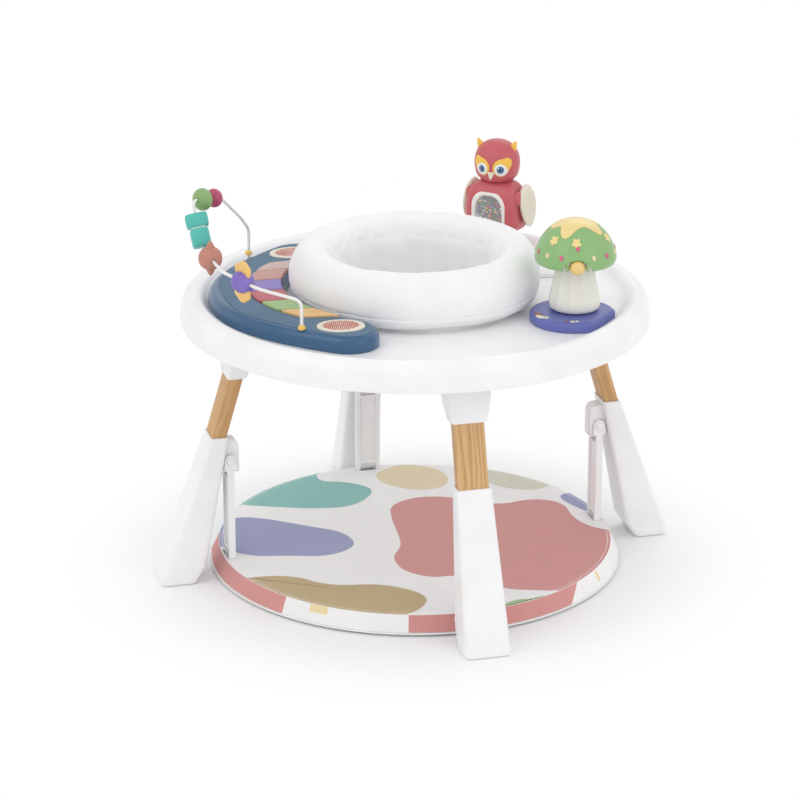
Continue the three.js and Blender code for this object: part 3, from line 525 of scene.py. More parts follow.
def plate(side, y_low, y_high):
    """A closed outline of (x, z) given a thickness along Y."""
    side = np.asarray(side)
    rows = [np.column_stack([side[:, 0], np.full(len(side), y), side[:, 1]]) for y in (y_low, y_high)]
    return skin(rows)


def arc(middle, radius, start, stop, steps):
    a = np.radians(np.linspace(start, stop, steps))
    return np.column_stack([middle[0] + radius * np.cos(a), middle[1] + radius * np.sin(a)])


for leg, azimuth in leg_turn.items():
    pin = leg_points("hanger_pin_" + leg, leg).mean(0)
    foot = leg_points("deck_arm_" + leg, leg)[:, 2].min() + 6
    screw = [(0.01, 20.7), (1.5, 20.7), (1.7, 21.25), (0.01, 21.4)]
    parts = [along_y(pin_profile, pin), along_y(screw, pin, 16)]
    pin_piece = lay("hanger_pin_look_" + leg, [spun(p, azimuth) for p in parts], white)
    fit(pin_piece, "sleeve_" + leg, "white_plastic", "hanger_pin_" + leg)

    x, z = pin[0], pin[2]
    bell = np.vstack([
        arc((x, z + 0.5), 8.3, -8, 188, 17),
        rounded([(x - 8.4, z - 2), (x - 9.5, z - 13.5), (x + 9.5, z - 13.5), (x + 8.4, z - 2)],
                [1, 1.6, 1.6, 1], 4),
    ])
    stem = rounded([
        (x - 5, 34), (x + 5, 34), (x + 5, z - 12), (x + 3.5, z - 10), (x - 3.5, z - 10), (x - 5, z - 12),
    ], 0.4, 2, closed=True)
    prong = np.vstack([
        arc((x, foot), 5.8, 150, 390, 17),
        [(x + 5, foot + 6), (x + 5, 40), (x - 5, 40), (x - 5, foot + 6)],
    ])
    blade = rounded([
        (x - 4.8, 36), (x + 4.8, 36), (x + 4.8, z - 22), (x - 4.8, z - 22)], 0.4, 2, closed=True)
    slim = (x - 3.2, x + 3.2)
    web = [(slim[0], 44), (slim[1], 44), (slim[1], z - 28), (slim[0], z - 28)]
    ribs = [plate(blade, s * 11, s * 18) for s in (-1, 1)]
    parts = [plate(bell, s * 12.1, s * 17.9) for s in (-1, 1)]
    parts += [plate(stem[:0:-1] * 1.0, s * 12.3, s * 17.7) for s in (-1, 1)]
    parts += [plate(prong, s * 12.2, s * 17.8) for s in (-1, 1)]
    bar = [(x - 4.9, z - 30), (x + 4.9, z - 30), (x + 4.9, z - 27), (x - 4.9, z - 27)]
    parts += [plate(web, -17, 17), *ribs, plate(bar, -17.6, 17.6)]
    floor_bar = [(x - 4.9, 38.5), (x + 4.9, 38.5), (x + 4.9, 44), (x - 4.9, 44)]
    parts.append(plate(floor_bar, -17.6, 17.6))
    arm = lay("arm_look_" + leg, [spun(p, azimuth) for p in parts], white, bevel=0.7)
    fit(arm, "arm_" + leg, "white_plastic", "deck_arm_" + leg)
print("pins at radius", round(pin[0], 1), "and height", round(pin[2], 1))

# %% [markdown]
# ## The deck cover
# The deck is a round board under a printed cloth cover that is stretched over its frame. The
# cloth needs a fine plain weave, and a slight lift at the top edge where a seam joins the
# round top to the side strip. The weave is drawn from two crossed sets of threads on Object
# coordinates, so that it runs straight across the top as real cloth does.

# %% Woven cloth
def woven(name, colour, thread=0.0009, roughness=0.85, depth=0.00025, sheen=0.25):
    """Cloth with crossed threads: the height is the larger of two bands, one along X and one
    along Y and Z together. thread is the width of one thread in metres."""
    material, nodes, links, shader, place = new_finish(name, roughness)
    shader.inputs["Sheen Weight"].default_value = sheen
    shader.inputs["Sheen Roughness"].default_value = 0.5
    shader.inputs["Specular IOR Level"].default_value = 0.25
    bands = []
    for direction in ("X", "DIAGONAL"):
        wave = nodes.new("ShaderNodeTexWave")
        wave.bands_direction = direction
        wave.inputs["Scale"].default_value = 0.314 / thread
        wave.inputs["Distortion"].default_value = 0.6
        wave.inputs["Detail"].default_value = 1
        links.new(place, wave.inputs["Vector"])
        bands.append(wave.outputs["Fac"])
    higher = nodes.new("ShaderNodeMath")
    higher.operation = "MAXIMUM"
    links.new(bands[0], higher.inputs[0])
    links.new(bands[1], higher.inputs[1])
    darker = [c * 0.98 for c in colour]
    mottled = noise(nodes, links, place, 35, 4)
    blend = nodes.new("ShaderNodeMath")
    blend.operation = "MULTIPLY_ADD"
    blend.inputs[1].default_value = 0.35
    links.new(higher.outputs[0], blend.inputs[0])
    links.new(mottled, blend.inputs[2])
    shade = ramp(nodes, links, blend.outputs[0], [(0.4, darker), (0.9, colour)])
    links.new(shade, shader.inputs["Base Color"])
    bump(nodes, links, shader, higher.outputs[0], depth)
    return material


cover_cloth = woven("deck_cloth_white", (251, 250, 249))
prints = {
    "teal": woven("print_teal", (140, 196, 189)),
    "lavender": woven("print_lavender", (160, 164, 202)),
    "coral": woven("print_coral", (219, 152, 148)),
    "tan": woven("print_tan", (197, 174, 130)),
    "cream": woven("print_cream", (236, 219, 184)),
    "sage": woven("print_sage", (219, 218, 199)),
    "green": woven("print_green", (164, 198, 134)),
    "apricot": woven("print_apricot", (247, 226, 178)),
}
seam_white = moulded("deck_edge_plastic", (240, 239, 239), 0.5)

# %% Cover, hem and frame lip
low, high = box_of("deck_cover")
hem_radius, deck_top, hem_z = high[0], high[2], low[2]
top_radius = hem_radius - (deck_top - hem_z) * 0.46
cover_profile = np.vstack([
    np.column_stack([np.linspace(1, top_radius - 12, 14), np.full(14, deck_top - 0.4)]),
    rounded([
        (top_radius - 10, deck_top - 0.4), (top_radius - 4, deck_top),
        (top_radius, deck_top - 0.6), (top_radius + 2.2, deck_top - 5.5),
        (hem_radius, hem_z), (hem_radius - 1.6, hem_z),
        (top_radius - 1.4, deck_top - 3), (top_radius - 8, deck_top - 2.2),
    ], [2, 2, 1.6, 2, 0.5, 0.5, 2, 2], 4),
    np.column_stack([np.linspace(top_radius - 14, 1, 8), np.full(8, deck_top - 2.2)]),
])
cover = lay("deck_cover_look", turned(cover_profile, 192, start="point", end="point"), cover_cloth, 60)
slots = []
for azimuth in leg_turn.values():
    x = pin[0]
    slot = hoop(6.6, 18.7, 1.5, 3) + [x + 0.7, 0]
    slots.append(spun(skin(stack([slot, slot], [20, 34])), azimuth))
carve(cover, *slots)
fit(cover, "deck", "deck_fabric", "deck_cover")

low, high = box_of("deck_frame")
lip = rounded([
    (high[0] - 70, low[2]), (high[0], low[2]), (high[0], low[2] + 2), (high[0] - 4, low[2] + 2.2),
    (top_radius - 5, high[2]), (top_radius - 8, high[2]), (high[0] - 8, low[2] + 3),
    (high[0] - 70, low[2] + 3),
], [0.5, 0.9, 0.9, 1, 1, 1, 1, 0.5], 4, closed=True)
frame_parts = [turned(lip, 160, start="ring", end="ring")]
for azimuth in leg_turn.values():
    lug = hoop(8.5, 11.5, 1.5, 3) + [pin[0], 0]
    frame_parts.append(spun(skin(stack([lug, lug], [low[2] + 1, high[2] - 1])), azimuth))
    cross_pin = [(2.5, -17.9), (2.5, 17.9)]
    frame_parts.append(spun(along_y(cross_pin, (pin[0], 0, 14), 20), azimuth))
ring_frame = lay("deck_frame_look", frame_parts, seam_white, bevel=0.4)
fit(ring_frame, "deck", "frame_plastic", "deck_frame")

# %% [markdown]
# ## The print
# The cover is printed with soft puddles of colour. Each one could be a mask in the cover's
# shader, but a thin skin of its own keeps a razor edge at any size. A puddle is a smooth
# loop round a few given corners, and it stops at the seam.

# %% Puddles on the top
def puddle(*corners):
    """A smooth loop drawn by a few given corners: each corner becomes a curve between the
    middles of its two sides. What would cross the seam is pulled back to it."""
    points = rounded(corners, 1000, 12, closed=True)
    distance = np.linalg.norm(points, axis=1, keepdims=True)
    return points * np.minimum(1, (top_radius - 0.8) / distance)


def printed(name, colour, outlines):
    """A skin a quarter of a millimetre thick on the cover's top, following its raised seam."""
    parts = []
    for outline in outlines:
        parts.append(skin(stack([outline, outline], [deck_top - 0.8, deck_top - 0.1])))
    piece = lay("print_" + name, parts, prints[colour], sharp=20)
    return fit(piece, "deck", "deck_fabric")


printed("teal", "teal", [puddle(
    (-330, -45), (-330, 130), (-262, 160), (-232, 106), (-190, 130), (-135, 125), (-130, 50), (-180, 12), (-230, -10))])
printed("lavender", "lavender", [puddle(
    (-262, -120), (-262, -70), (-215, -55), (-150, -50), (-95, -42), (-50, -75), (-65, -130), (-120, -158),
    (-165, -188), (-235, -175))])
printed("cream", "cream", [puddle((-175, 175), (-160, 235), (-100, 248), (-60, 215), (-55, 178), (-85, 150), (-135, 148))])
printed("sage", "sage", [puddle((-40, 300), (60, 320), (85, 270), (65, 235), (10, 225), (-35, 250))])
printed("tan", "tan", [puddle(
    (-150, -300), (-125, -250), (-75, -214), (-10, -220), (50, -175), (125, -178), (140, -225), (120, -275), (20, -330))])
printed("green", "green", [puddle((225, -160), (240, -122), (300, -100), (300, -190), (255, -200))])
printed("coral", "coral", [puddle(
    (-62, 40), (-88, 80), (-70, 132), (-15, 158), (50, 158), (82, 210), (130, 218), (168, 172), (212, 150),
    (280, 165), (310, 60), (310, -50), (280, -72), (240, -92), (205, -108), (120, -98), (100, -124), (52, -124),
    (14, -90), (6, -50), (-12, -22), (-40, 12))])
printed("back", "lavender", [puddle((120, 262), (110, 235), (150, 212), (190, 200), (205, 215), (175, 245))])


# %% Strips on the side
def side_strip(name, colour, start, stop, low_share=0.0, high_share=1.0, slant=0.0):
    """A printed strip of the cover's side: angles in degrees, heights as shares of the side.
    slant leans the strip's second end, in degrees from bottom to top."""
    share = np.linspace(low_share, high_share, 10)
    across = np.linspace(0, 1, max(8, int(abs(stop - start))))
    a = np.radians(start + (stop - start + slant * share[:, None]) * across)
    z = hem_z + 0.6 + share[:, None] * (deck_top - hem_z - 1.6)
    curve = np.interp(z, [hem_z, deck_top - 5.5, deck_top - 0.6], [hem_radius, top_radius + 2.2, top_radius])
    layers = []
    for lift in (0.35, -0.5):
        r = curve + lift
        layers.append(np.stack([r * np.cos(a), r * np.sin(a), np.broadcast_to(z, a.shape)], -1))
    outer, inner = layers
    rows = np.concatenate([outer, inner[:, ::-1]], 1)
    piece = lay("side_" + name, skin(rows), prints[colour], sharp=30)
    return fit(piece, "deck", "deck_fabric")


side_strip("coral_front", "coral", -62, -12.5, slant=5)
side_strip("coral_left", "coral", -152, -99)
side_strip("apricot_front", "apricot", -90.5, -85, 0.55, 1)
side_strip("apricot_right", "apricot", 2.5, 4, 0.3, 0.95)
side_strip("teal_back", "teal", 150, 200)
side_strip("tan_back", "tan", 70, 105)

# %% [markdown]
# ## Board and springs
# The board under the cover gives a little under a child's feet. It is plain plywood on four
# coil springs. A coil is a small circle carried along a helix.

# %% Board, springs
low, high = box_of("deck_board")
board_profile = rounded([
    (0.01, low[2]), (high[0], low[2]), (high[0], high[2]), (0.01, high[2])], [0, 1.2, 1.2, 0], 4)
board_part = turned(board_profile, 128)
ply = oak("plywood", (224, 198, 152), (212, 182, 132), (190, 155, 106))
grain = np.column_stack([board_part[0][:, 0], board_part[0][:, 2], board_part[0][:, 1]]) * mm
board = lay("deck_board_look", board_part, ply, stations=grain)
fit(board, "board", "board_wood", "deck_board")


def drawn_wire(name, colour, roughness):
    material, nodes, links, shader, place = new_finish(name, roughness, Metallic=1.0)
    tone = ramp(nodes, links, noise(nodes, links, place, 300), [(0.3, [c * 0.9 for c in colour]), (0.7, colour)])
    links.new(tone, shader.inputs["Base Color"])
    bump(nodes, links, shader, noise(nodes, links, place, 2500), 0.00005)
    return material


def tube(path, radius, sides=12):
    """A circle carried along a path of points. Each frame's side direction is the one before
    it less its part along the path, so the tube doesn't twist."""
    path = np.asarray(path, float)
    ahead = np.gradient(path, axis=0)
    ahead /= np.linalg.norm(ahead, axis=1, keepdims=True)
    side = np.cross(ahead[0], [0.123, 0.456, 0.88])
    sides_out = []
    for direction in ahead:
        side = side - direction * (side @ direction)
        side /= np.linalg.norm(side)
        sides_out.append(side)
    side = np.array(sides_out)
    up = np.cross(ahead, side)
    a = np.linspace(0, 2 * np.pi, sides, endpoint=False)[None, :, None]
    reach = np.broadcast_to(np.asarray(radius, float), len(path))[:, None, None]
    return skin(path[:, None] + reach * (np.cos(a) * side[:, None] + np.sin(a) * up[:, None]))


spring_steel = drawn_wire("spring_wire", (200, 202, 206), 0.3)
for number in (1, 2, 3, 4):
    low, high = box_of("deck_spring_%d" % number)
    t = np.linspace(0, 1, 160)
    turn = 2 * np.pi * 3 * t
    middle = (low + high) / 2
    coil = np.column_stack([
        middle[0] + 8 * np.cos(turn), middle[1] + 8 * np.sin(turn),
        low[2] + 0.8 + t * (high[2] - low[2] - 1.6),
    ])
    spring = lay("spring_look_%d" % number, tube(coil, 0.8, 10), spring_steel)
    fit(spring, "deck", "spring_steel", "deck_spring_%d" % number)
    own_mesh(spring)
print("board", round(2 * (box_of("deck_board")[1][0])), "mm wide")

# %% [markdown]
# ## The seat
# The seat is a stuffed ring covered in soft cloth, with a cloth sling under it that the child
# sits in. The ring is pumped up by Blender's cloth simulation: a slightly slim ring is
# remeshed into even squares, inner pressure swells it for twenty frames, and no point may
# move more than a few millimetres. The creases where the cover is gathered at the opening are
# pressed in afterwards, because the simulation would smooth them away.

# %% Swelling a cushion
def swell(piece, voxel=5.0, pressure=4.0, frames=20, cap=6.0):
    """Pumps up a closed mesh and stops each point within cap millimetres of where it began."""
    remesh = piece.modifiers.new("even squares", "REMESH")
    remesh.mode = "VOXEL"
    remesh.voxel_size = voxel * mm
    settle(piece)
    count = len(piece.data.vertices)
    before = np.empty(count * 3)
    piece.data.vertices.foreach_get("co", before)
    cloth = piece.modifiers.new("pump", "CLOTH")
    cloth.settings.use_pressure = True
    cloth.settings.uniform_pressure_force = pressure
    cloth.settings.effector_weights.gravity = 0
    cloth.settings.quality = 5
    scene = bpy.context.scene
    for number in range(1, frames + 1):
        scene.frame_set(number)
    settle(piece)
    scene.frame_set(1)
    after = np.empty(count * 3)
    piece.data.vertices.foreach_get("co", after)
    before, after = before.reshape(-1, 3), after.reshape(-1, 3)
    step = after - before
    length = np.linalg.norm(step, axis=1, keepdims=True)
    step *= np.minimum(1, cap * mm / np.maximum(length, 1e-9))
    piece.data.vertices.foreach_set("co", (before + step).ravel())
    piece.data.update()
    print(piece.name, count, "points, moved", round(float(np.linalg.norm(step, axis=1).max() / mm), 1))
    return piece


# %% Cushion ring
seat_low, seat_high = box_of("seat_cushion")
seat_r, seat_top, seat_foot = seat_high[0], seat_high[2], seat_low[2]
ring_profile = rounded([
    (122, seat_top - 66), (150, seat_foot + 12), (162, seat_foot + 0.5), (seat_r - 6, seat_foot + 4),
    (seat_r - 2.5, seat_foot + 24), (seat_r - 3, seat_foot + 44), (seat_r - 15, seat_top - 16),
    (seat_r - 33, seat_top - 5), (seat_r - 50, seat_top - 3), (122, seat_top - 12),
    (120.5, seat_top - 34),
], [6, 6, 8, 9, 12, 12, 14, 12, 8, 8, 14], 5, closed=True)
seat_cloth = woven("seat_cloth", (254, 254, 255), thread=0.0011, depth=0.0003, sheen=0.35)


def gathered(a, z):
    """The radius wanders by a few tenths of a per cent, as stuffing does."""
    return 1 + 0.004 * np.cos(5 * a + 1) + 0.003 * np.cos(9 * a - 2)


ring = lay("seat_cushion_look", turned(ring_profile, 180, start="ring", end="ring", wobble=gathered), seat_cloth)
swell(ring)

# %% Creases, seam and soft sag
creases = [(-12, 4), (150, 8), (163, 5), (176, 7), (188, 5), (118, 6), (95, 5), (74, 5), (56, 6), (40, 4),
           (215, 4), (-60, 3), (-95, 3), (24, 3)]


def press(piece, moves):
    """Moves a piece's points: moves(x, y, z) in millimetres gives new ones."""
    count = len(piece.data.vertices)
    flat = np.empty(count * 3)
    piece.data.vertices.foreach_get("co", flat)
    x, y, z = flat.reshape(-1, 3).T / mm
    piece.data.vertices.foreach_set("co", (np.column_stack(moves(x, y, z)) * mm).ravel())
    piece.data.update()


def crease(x, y, z):
    """Each crease is a valley across the ring's inner lip: depth * exp(-(angle/width)^2),
    strongest near the opening and gone at the outside. A seam line runs round at the foot."""
    r, a = np.hypot(x, y), np.degrees(np.arctan2(y, x))
    inward = np.clip((158 - r) / 34, 0, 1) * np.clip((z - seat_foot - 14) / 20, 0, 1)
    valley = np.zeros_like(r)
    for azimuth, depth in creases:
        off = (a - azimuth + 180 + (z - seat_top) * 0.12) % 360 - 180
        valley += depth * 0.75 * np.exp(-((off / 3.0) ** 2)) - depth * 0.28 * np.exp(-((off / 8.0) ** 2))
    valley *= inward
    slope = np.clip((r - 118) / 30, 0, 1)
    seam = 1.3 * np.exp(-(((z - seat_foot - 22) / 1.6) ** 2)) * np.clip((r - 165) / 8, 0, 1)
    new_r = r + valley * (1 - slope) - seam
    new_z = z - valley * slope * 0.8
    new_r = np.clip(new_r, 118.8, seat_r + 5)
    return x * new_r / r, y * new_r / r, np.minimum(np.maximum(new_z, seat_foot), seat_top + 3)


smooth = ring.modifiers.new("finer", "SUBSURF")
smooth.levels = smooth.render_levels = 1
settle(ring)
press(ring, crease)
fit(ring, "seat", "seat_fabric", "seat_cushion")

# %% [markdown]
# ## The sling
# The sling is a bowl of double cloth with two leg holes. It hangs inside the seat ring. The
# bowl is a profile turned round the middle with shallow folds that run down it, and the leg
# holes are cut out.

# %% Sling
low, high = box_of("seat_sling")
sling_profile = rounded([
    (128, 447), (120, 441), (117, 428), (117, 402), (113.5, 350), (102, 311), (84, 283), (58, 265), (30, low[2] + 2),
    (1, low[2] + 1),
], 18, 8)
spacing = np.concatenate([[0], np.cumsum(np.linalg.norm(np.diff(sling_profile, axis=0), axis=1))])
even = np.linspace(0, spacing[-1], 90)
sling_profile = np.column_stack([np.interp(even, spacing, column) for column in sling_profile.T])
angle = np.linspace(0, 2 * np.pi, 200, endpoint=False)[None, :]
r, z = sling_profile[:, :1], sling_profile[:, 1:]
fold = 1.7 * np.cos(10 * angle + 2 * np.sin(2 * angle)) + 0.9 * np.cos(17 * angle + 1.3)
fold = fold * np.clip((z - 300) / 60, 0, 1) * np.clip((441 - z) / 12, 0, 1)
fold -= 2.2 * np.clip((z - 300) / 100, 0, 1)
layers = []
for inset in (0, 1.6):
    reach = np.maximum(r + fold - inset, 0.5)
    height = np.broadcast_to(z + inset * np.clip((300 - z) / 40, 0, 1), reach.shape)
    layers.append(np.stack([reach * np.cos(angle), reach * np.sin(angle), height], -1))
sling_cloth = woven("sling_cloth", (247, 247, 248), thread=0.0011, depth=0.0003)
cloth_rows = np.concatenate([layers[1][::-1], layers[0]])
sling = lay("seat_sling_look", skin(cloth_rows, "point", "point"), sling_cloth, 70)
holes = []
for side in (-1, 1):
    t = np.linspace(0, 2 * np.pi, 64, endpoint=False)
    oval = np.column_stack([side * 66 + 37 * np.cos(t), 48 * np.sin(t)])
    holes.append(skin(stack([oval, oval], [240, 343])))
carve(sling, *holes)
fit(sling, "seat", "seat_fabric", "seat_sling")
area = np.empty(len(sling.data.polygons))
sling.data.polygons.foreach_get("area", area)
low, high = box_of("seat_ring")
collar = rounded([
    (high[0] - 23, low[2]), (high[0] - 17, low[2]), (high[0] - 17, high[2] - 3), (high[0], high[2] - 3),
    (high[0], high[2]), (high[0] - 23, high[2])], 0.9, 4, closed=True)
turning = lay("seat_ring_look", turned(collar, 128, start="ring", end="ring"), white_grained)
fit(turning, "seat", "white_plastic", "seat_ring")
low, high = box_of("seat_retainer")
keeper = rounded([
    (high[0] - 18.7, low[2]), (high[0], low[2]), (high[0], high[2]), (high[0] - 18.7, high[2])],
    0.9, 4, closed=True)
keeper = lay("seat_retainer_look", turned(keeper, 128, start="ring", end="ring"), white_grained)
fit(keeper, "seat", "white_plastic", "seat_retainer")

# %% [markdown]
# ## The piano
# The piano is a crescent that hugs the seat, with round ends. Its outline comes from the same
# three curves at any inset: an inner arc, an outer arc that swells in the middle, and two end
# circles. Stacking it at growing insets rolls the top edge over. A slate-blue top plate lies
# on it, and the key bed and the two pad wells are cut through both.

# %% Crescent outlines
piano_turn = -137
end_angle = 53.5
low, high = box_of("piano_base")
piano_foot, piano_top = low[2], high[2]


def crescent(inset, wave=0.0, side_steps=60, end_steps=24):
    """Outer side: radius 266 + 25 cos^2, then the end circle of radius 41, the inner arc of
    radius 184, and the other end circle, each moved in by inset. wave wriggles the outer side."""
    a = np.linspace(-end_angle, end_angle, side_steps)
    outer = 266 + 25 * np.cos(np.radians(90 * a / end_angle)) ** 2 - inset
    bulge = np.cos(np.radians(90 * a / end_angle))
    outer = outer - wave * bulge * (2 + np.cos(np.radians(a * 9)))
    line = [np.array([polar(r, b) for r, b in zip(outer, a)])]
    for side, flow in ((1, 1), (-1, -1)):
        hub = polar(225, side * end_angle)
        turn = side * end_angle + np.linspace(0, 180, end_steps + 1)[1:-1] + (0 if side > 0 else 180)
        cap = hub + np.array([polar(41 - inset, b) for b in turn])
        inner = np.array([polar(184 + inset, b) for b in a[::-1]])
        line += [cap, inner] if side > 0 else [cap]
    return spin(np.column_stack([np.vstack(line), np.zeros(len(np.vstack(line)))]), piano_turn)[:, :2]


# %% Piano body, top plate, keys and pads
blue = moulded("piano_blue", (40, 90, 130), 0.3, 0.5)
slate = moulded("piano_slate", (80, 112, 140), 0.5)
insets = [0.8, 0, 0, 0.4, 1.5, 3.6, 6.5, 9.5, 12]
heights = np.array([0, 1, 9, 12.5, 16, 19.3, 21.3, 22.1, 22.1]) + piano_foot
body = lay("piano_body", skin(stack([crescent(i) for i in insets], heights)), blue)
top_insets = [8.0, 7.6, 7.8, 9.0]
top_heights = np.array([-3, -0.4, 0.1, 0.4]) + piano_top
top = lay("piano_top_plate", skin(stack([crescent(i, 3.2) for i in top_insets], top_heights)), slate)

key_pitch, key_names = 13.0, ["apricot", "green", "red", "purple", "salmon", "pink"]
fan_half = key_pitch * 3


def key_outline(start, stop, grow=0.0, steps=10):
    """Between two angles of the keyboard: out along 0.88 of the angle at the far end and
    1.12 of it at the near end, so the keys lean towards the seat."""
    a = np.linspace(start, stop, steps)
    outer = 236 - 14 * (a / fan_half) ** 2 + grow
    far = np.array([polar(r, b * 0.88 + piano_turn) for r, b in zip(outer, a)])
    near = np.array([polar(188 - grow, b * 1.12 + piano_turn) for b in a[::-1]])
    middle = (far.mean(0) + near.mean(0)) / 2
    line = np.vstack([far, near])
    push = line - middle
    return line + push / np.linalg.norm(push, axis=1, keepdims=True) * grow


def shrunk(outline, by):
    """An outline pulled towards its middle by a distance at its widest."""
    middle = outline.mean(0)
    reach = np.linalg.norm(outline - middle, axis=1).max()
    return middle + (outline - middle) * (1 - by / reach)


bed = key_outline(-fan_half, fan_half, 0.5, 40)
pad_places = {}
for side, name in ((1, "front"), (-1, "back")):
    t = np.linspace(0, 2 * np.pi, 72, endpoint=False)
    oval = np.column_stack([26 * np.cos(t), 33 * np.sin(t)])
    turn = np.radians(piano_turn + side * (50 + 33))
    swing = np.array([[np.cos(turn), -np.sin(turn)], [np.sin(turn), np.cos(turn)]])
    pad_places[name] = (oval @ swing.T, polar(222, piano_turn + side * 50), turn)
wells = [pad * 1.018 + place for pad, place, _ in pad_places.values()]
tools = [skin(stack([line, line], [piano_top - 8, piano_top + 9])) for line in [bed, *wells]]
for piece in (body, top):
    carve(piece, *tools)
fit(body, "table", "piano_plastic", "piano_base")
fit(top, "table", "piano_plastic")

key_colours = [(233, 190, 130), (158, 188, 130), (192, 104, 110), (142, 127, 194), (202, 156, 146), (207, 180, 174)]
key_low, key_high = box_of(*["piano_key_" + n for n in key_names])
for number, (name, colour) in enumerate(zip(key_names, key_colours)):
    stop = fan_half - key_pitch * number - 0.35
    line = rounded(key_outline(stop - key_pitch + 0.7, stop, 0, 10)[[0, 5, 9, 10, 14, 19]],
                   [7, 0.5, 7, 1.5, 0.5, 1.5], 5, closed=True)
    shapes = [shrunk(line, s) for s in (0.3, 0, 0, 0.3, 1.2, 3)]
    levels = [key_low[2], key_low[2] + 0.5, key_high[2] - 1.6, key_high[2] - 0.7, key_high[2] - 0.15, key_high[2]]
    finish = moulded("key_" + name + "_plastic", colour, 0.48)
    key = lay("key_look_" + name, skin(stack(shapes, levels)), finish)
    fit(key, "key_" + name, "key_" + name, "piano_key_" + name)

# %% [markdown]
# ## Ribbed finish
# The drum pads have a cream rim and a red middle with a zigzag edge and fine ribs, so a
# finger finds them. Two skins on one body show both colours.

# %% Pads
pad_cream = moulded("pad_cream", (232, 224, 208), 0.5)
pad_red = moulded("pad_red", (182, 70, 60), 0.55, depth=0.0001)
for name, (line, place, turn) in pad_places.items():
    low, high = box_of("drum_pad_" + name)
    crown = [(1.0, low[2]), (1.0, high[2] - 1.8), (0.985, high[2] - 0.7), (0.95, high[2] - 0.35), (0.9, high[2] - 0.3)]
    rim_part = skin(np.array([np.column_stack([line * s + place, np.full(len(line), z)]) for s, z in crown]))
    rim_piece = lay("pad_rim_" + name, rim_part, pad_cream)
    fit(rim_piece, "pad_" + name, "pad_plastic", "drum_pad_" + name)
    t = np.linspace(0, 2 * np.pi, 72 * 4, endpoint=False)
    saw = 1 + 0.13 * (2 * abs((t * 16 / (2 * np.pi)) % 1 - 0.5) - 0.5)
    cs, sn = np.cos(turn), np.sin(turn)
    shares = np.linspace(0.74, 0.0, 22)
    rows = []
    for share in np.concatenate([[0.76], shares]):
        x, y = 26 * share * np.cos(t) * saw, 33 * share * np.sin(t) * saw
        lift = high[2] - 0.12 - 0.28 * np.cos(y * 2 * np.pi / 5.2) ** 2 if share < 0.75 else np.full(len(t), high[2] - 1.2)
        rows.append(np.column_stack([x * cs - y * sn + place[0], x * sn + y * cs + place[1], lift]))
    red_piece = lay("pad_red_" + name, skin(np.array(rows[:-1]), "flat", "point"), pad_red, 60)
    fit(red_piece, "pad_" + name, "pad_plastic")
print("keys", len(key_names), "pads", len(pad_places))

# %% [markdown]
# ## Bead wire
# The wire is bent from one white steel rod. Its corners are rounded by the same rule as the
# profiles, and a circle is carried along it. The beads sit on its straight stretches, because
# a bead can only turn on a straight one.

# %% Wire and collars
wire_corners = np.array([[*polar(r, a), z] for r, a, z in [
    (260, -96, 402), (260, -96, 452), (288, -107, 464), (294, -123, 468), (296, -141.5, 471),
    (309, -147.7, 533), (275, -156.7, 525), (264, -170.5, 477), (270, -178, 450), (271, -178, 402)]])
wire_white = moulded("wire_white", (238, 237, 234), 0.3, 0.4)
wire_path = rounded(wire_corners, 11, 8)
wire = lay("bead_wire_look", tube(wire_path, 2.3, 16), wire_white)
fit(wire, "table", "white_plastic", "bead_wire")
collar_yellow = moulded("collar_yellow", (240, 196, 98), 0.4, 0.2)
foot_profile = [(5.2, 0), (5.2, 2.2), (4.6, 4), (3.2, 5.4), (2.4, 6)]
for name, corner in (("front", wire_corners[0]), ("back", wire_corners[-1])):
    profile = [(r, z + piano_top + 0.4) for r, z in foot_profile]
    fit(lay("wire_collar_" + name, turned(profile, 32, corner[:2]), collar_yellow), "table", "white_plastic")


# %% [markdown]
# ## Beads
# Each bead is drawn round its own bore and then laid on its stretch of wire: the bore along
# the wire, X away from the middle of the table. Ridges are ripples in the profile.

# %% Placing a bead
def on_wire(part, stretch, share):
    """Local axes: Z along the stretch, Y = Z cross the outward direction, X = Y cross Z."""
    start, stop = wire_corners[stretch], wire_corners[stretch + 1]
    centre = start + (stop - start) * share
    along = (stop - start) / np.linalg.norm(stop - start)
    out = np.array([centre[0], centre[1], 0]) / np.hypot(centre[0], centre[1])
    side = np.cross(along, out)
    side /= np.linalg.norm(side)
    frame_axes = np.array([np.cross(side, along), side, along])
    return part[0] @ frame_axes + centre, part[1]


def egg(radius, half, ripple=0.0, waves=0, bore=3.0):
    """Radius sqrt(1 - s^2) with ripple * cos(waves s) on top, and a bore through it."""
    s = np.linspace(-0.97, 0.97, 48)
    r = radius * np.sqrt(1 - s**2) + ripple * np.cos(waves * s) * (1 - s**2)
    profile = [(bore, -half * 0.96), *zip(r, half * s), (bore, half * 0.96)]
    return turned(profile, 48, start="ring", end="ring")


def flake(outline, thick, lift=0.0):
    """A flat piece with rounded edges from an outline about the origin, in the YZ plane."""
    edges = [(0.84, -1), (0.95, -0.8), (1, -0.3), (1, 0.3), (0.95, 0.8), (0.84, 1)]
    rows = [np.column_stack([np.full(len(outline), thick * t + lift), outline * s]) for s, t in edges]
    return skin(np.array(rows))


def shifted(part, offset):
    return part[0] + np.array(offset), part[1]


violet = moulded("bead_violet", (134, 112, 196), 0.4, 0.15)
wing_yellow = moulded("wing_yellow", (243, 198, 118), 0.45, 0.1)
brown_pink = moulded("bead_brown_pink", (197, 134, 116), 0.45)
teal = moulded("bead_teal", (82, 187, 176), 0.42, 0.1)
pale_teal = moulded("bead_pale_teal", (176, 220, 208), 0.45)
leaf_green = moulded("bead_green_plastic", (140, 176, 112), 0.4, 0.15)
magenta = moulded("bead_magenta_plastic", (184, 72, 106), 0.36, 0.25)

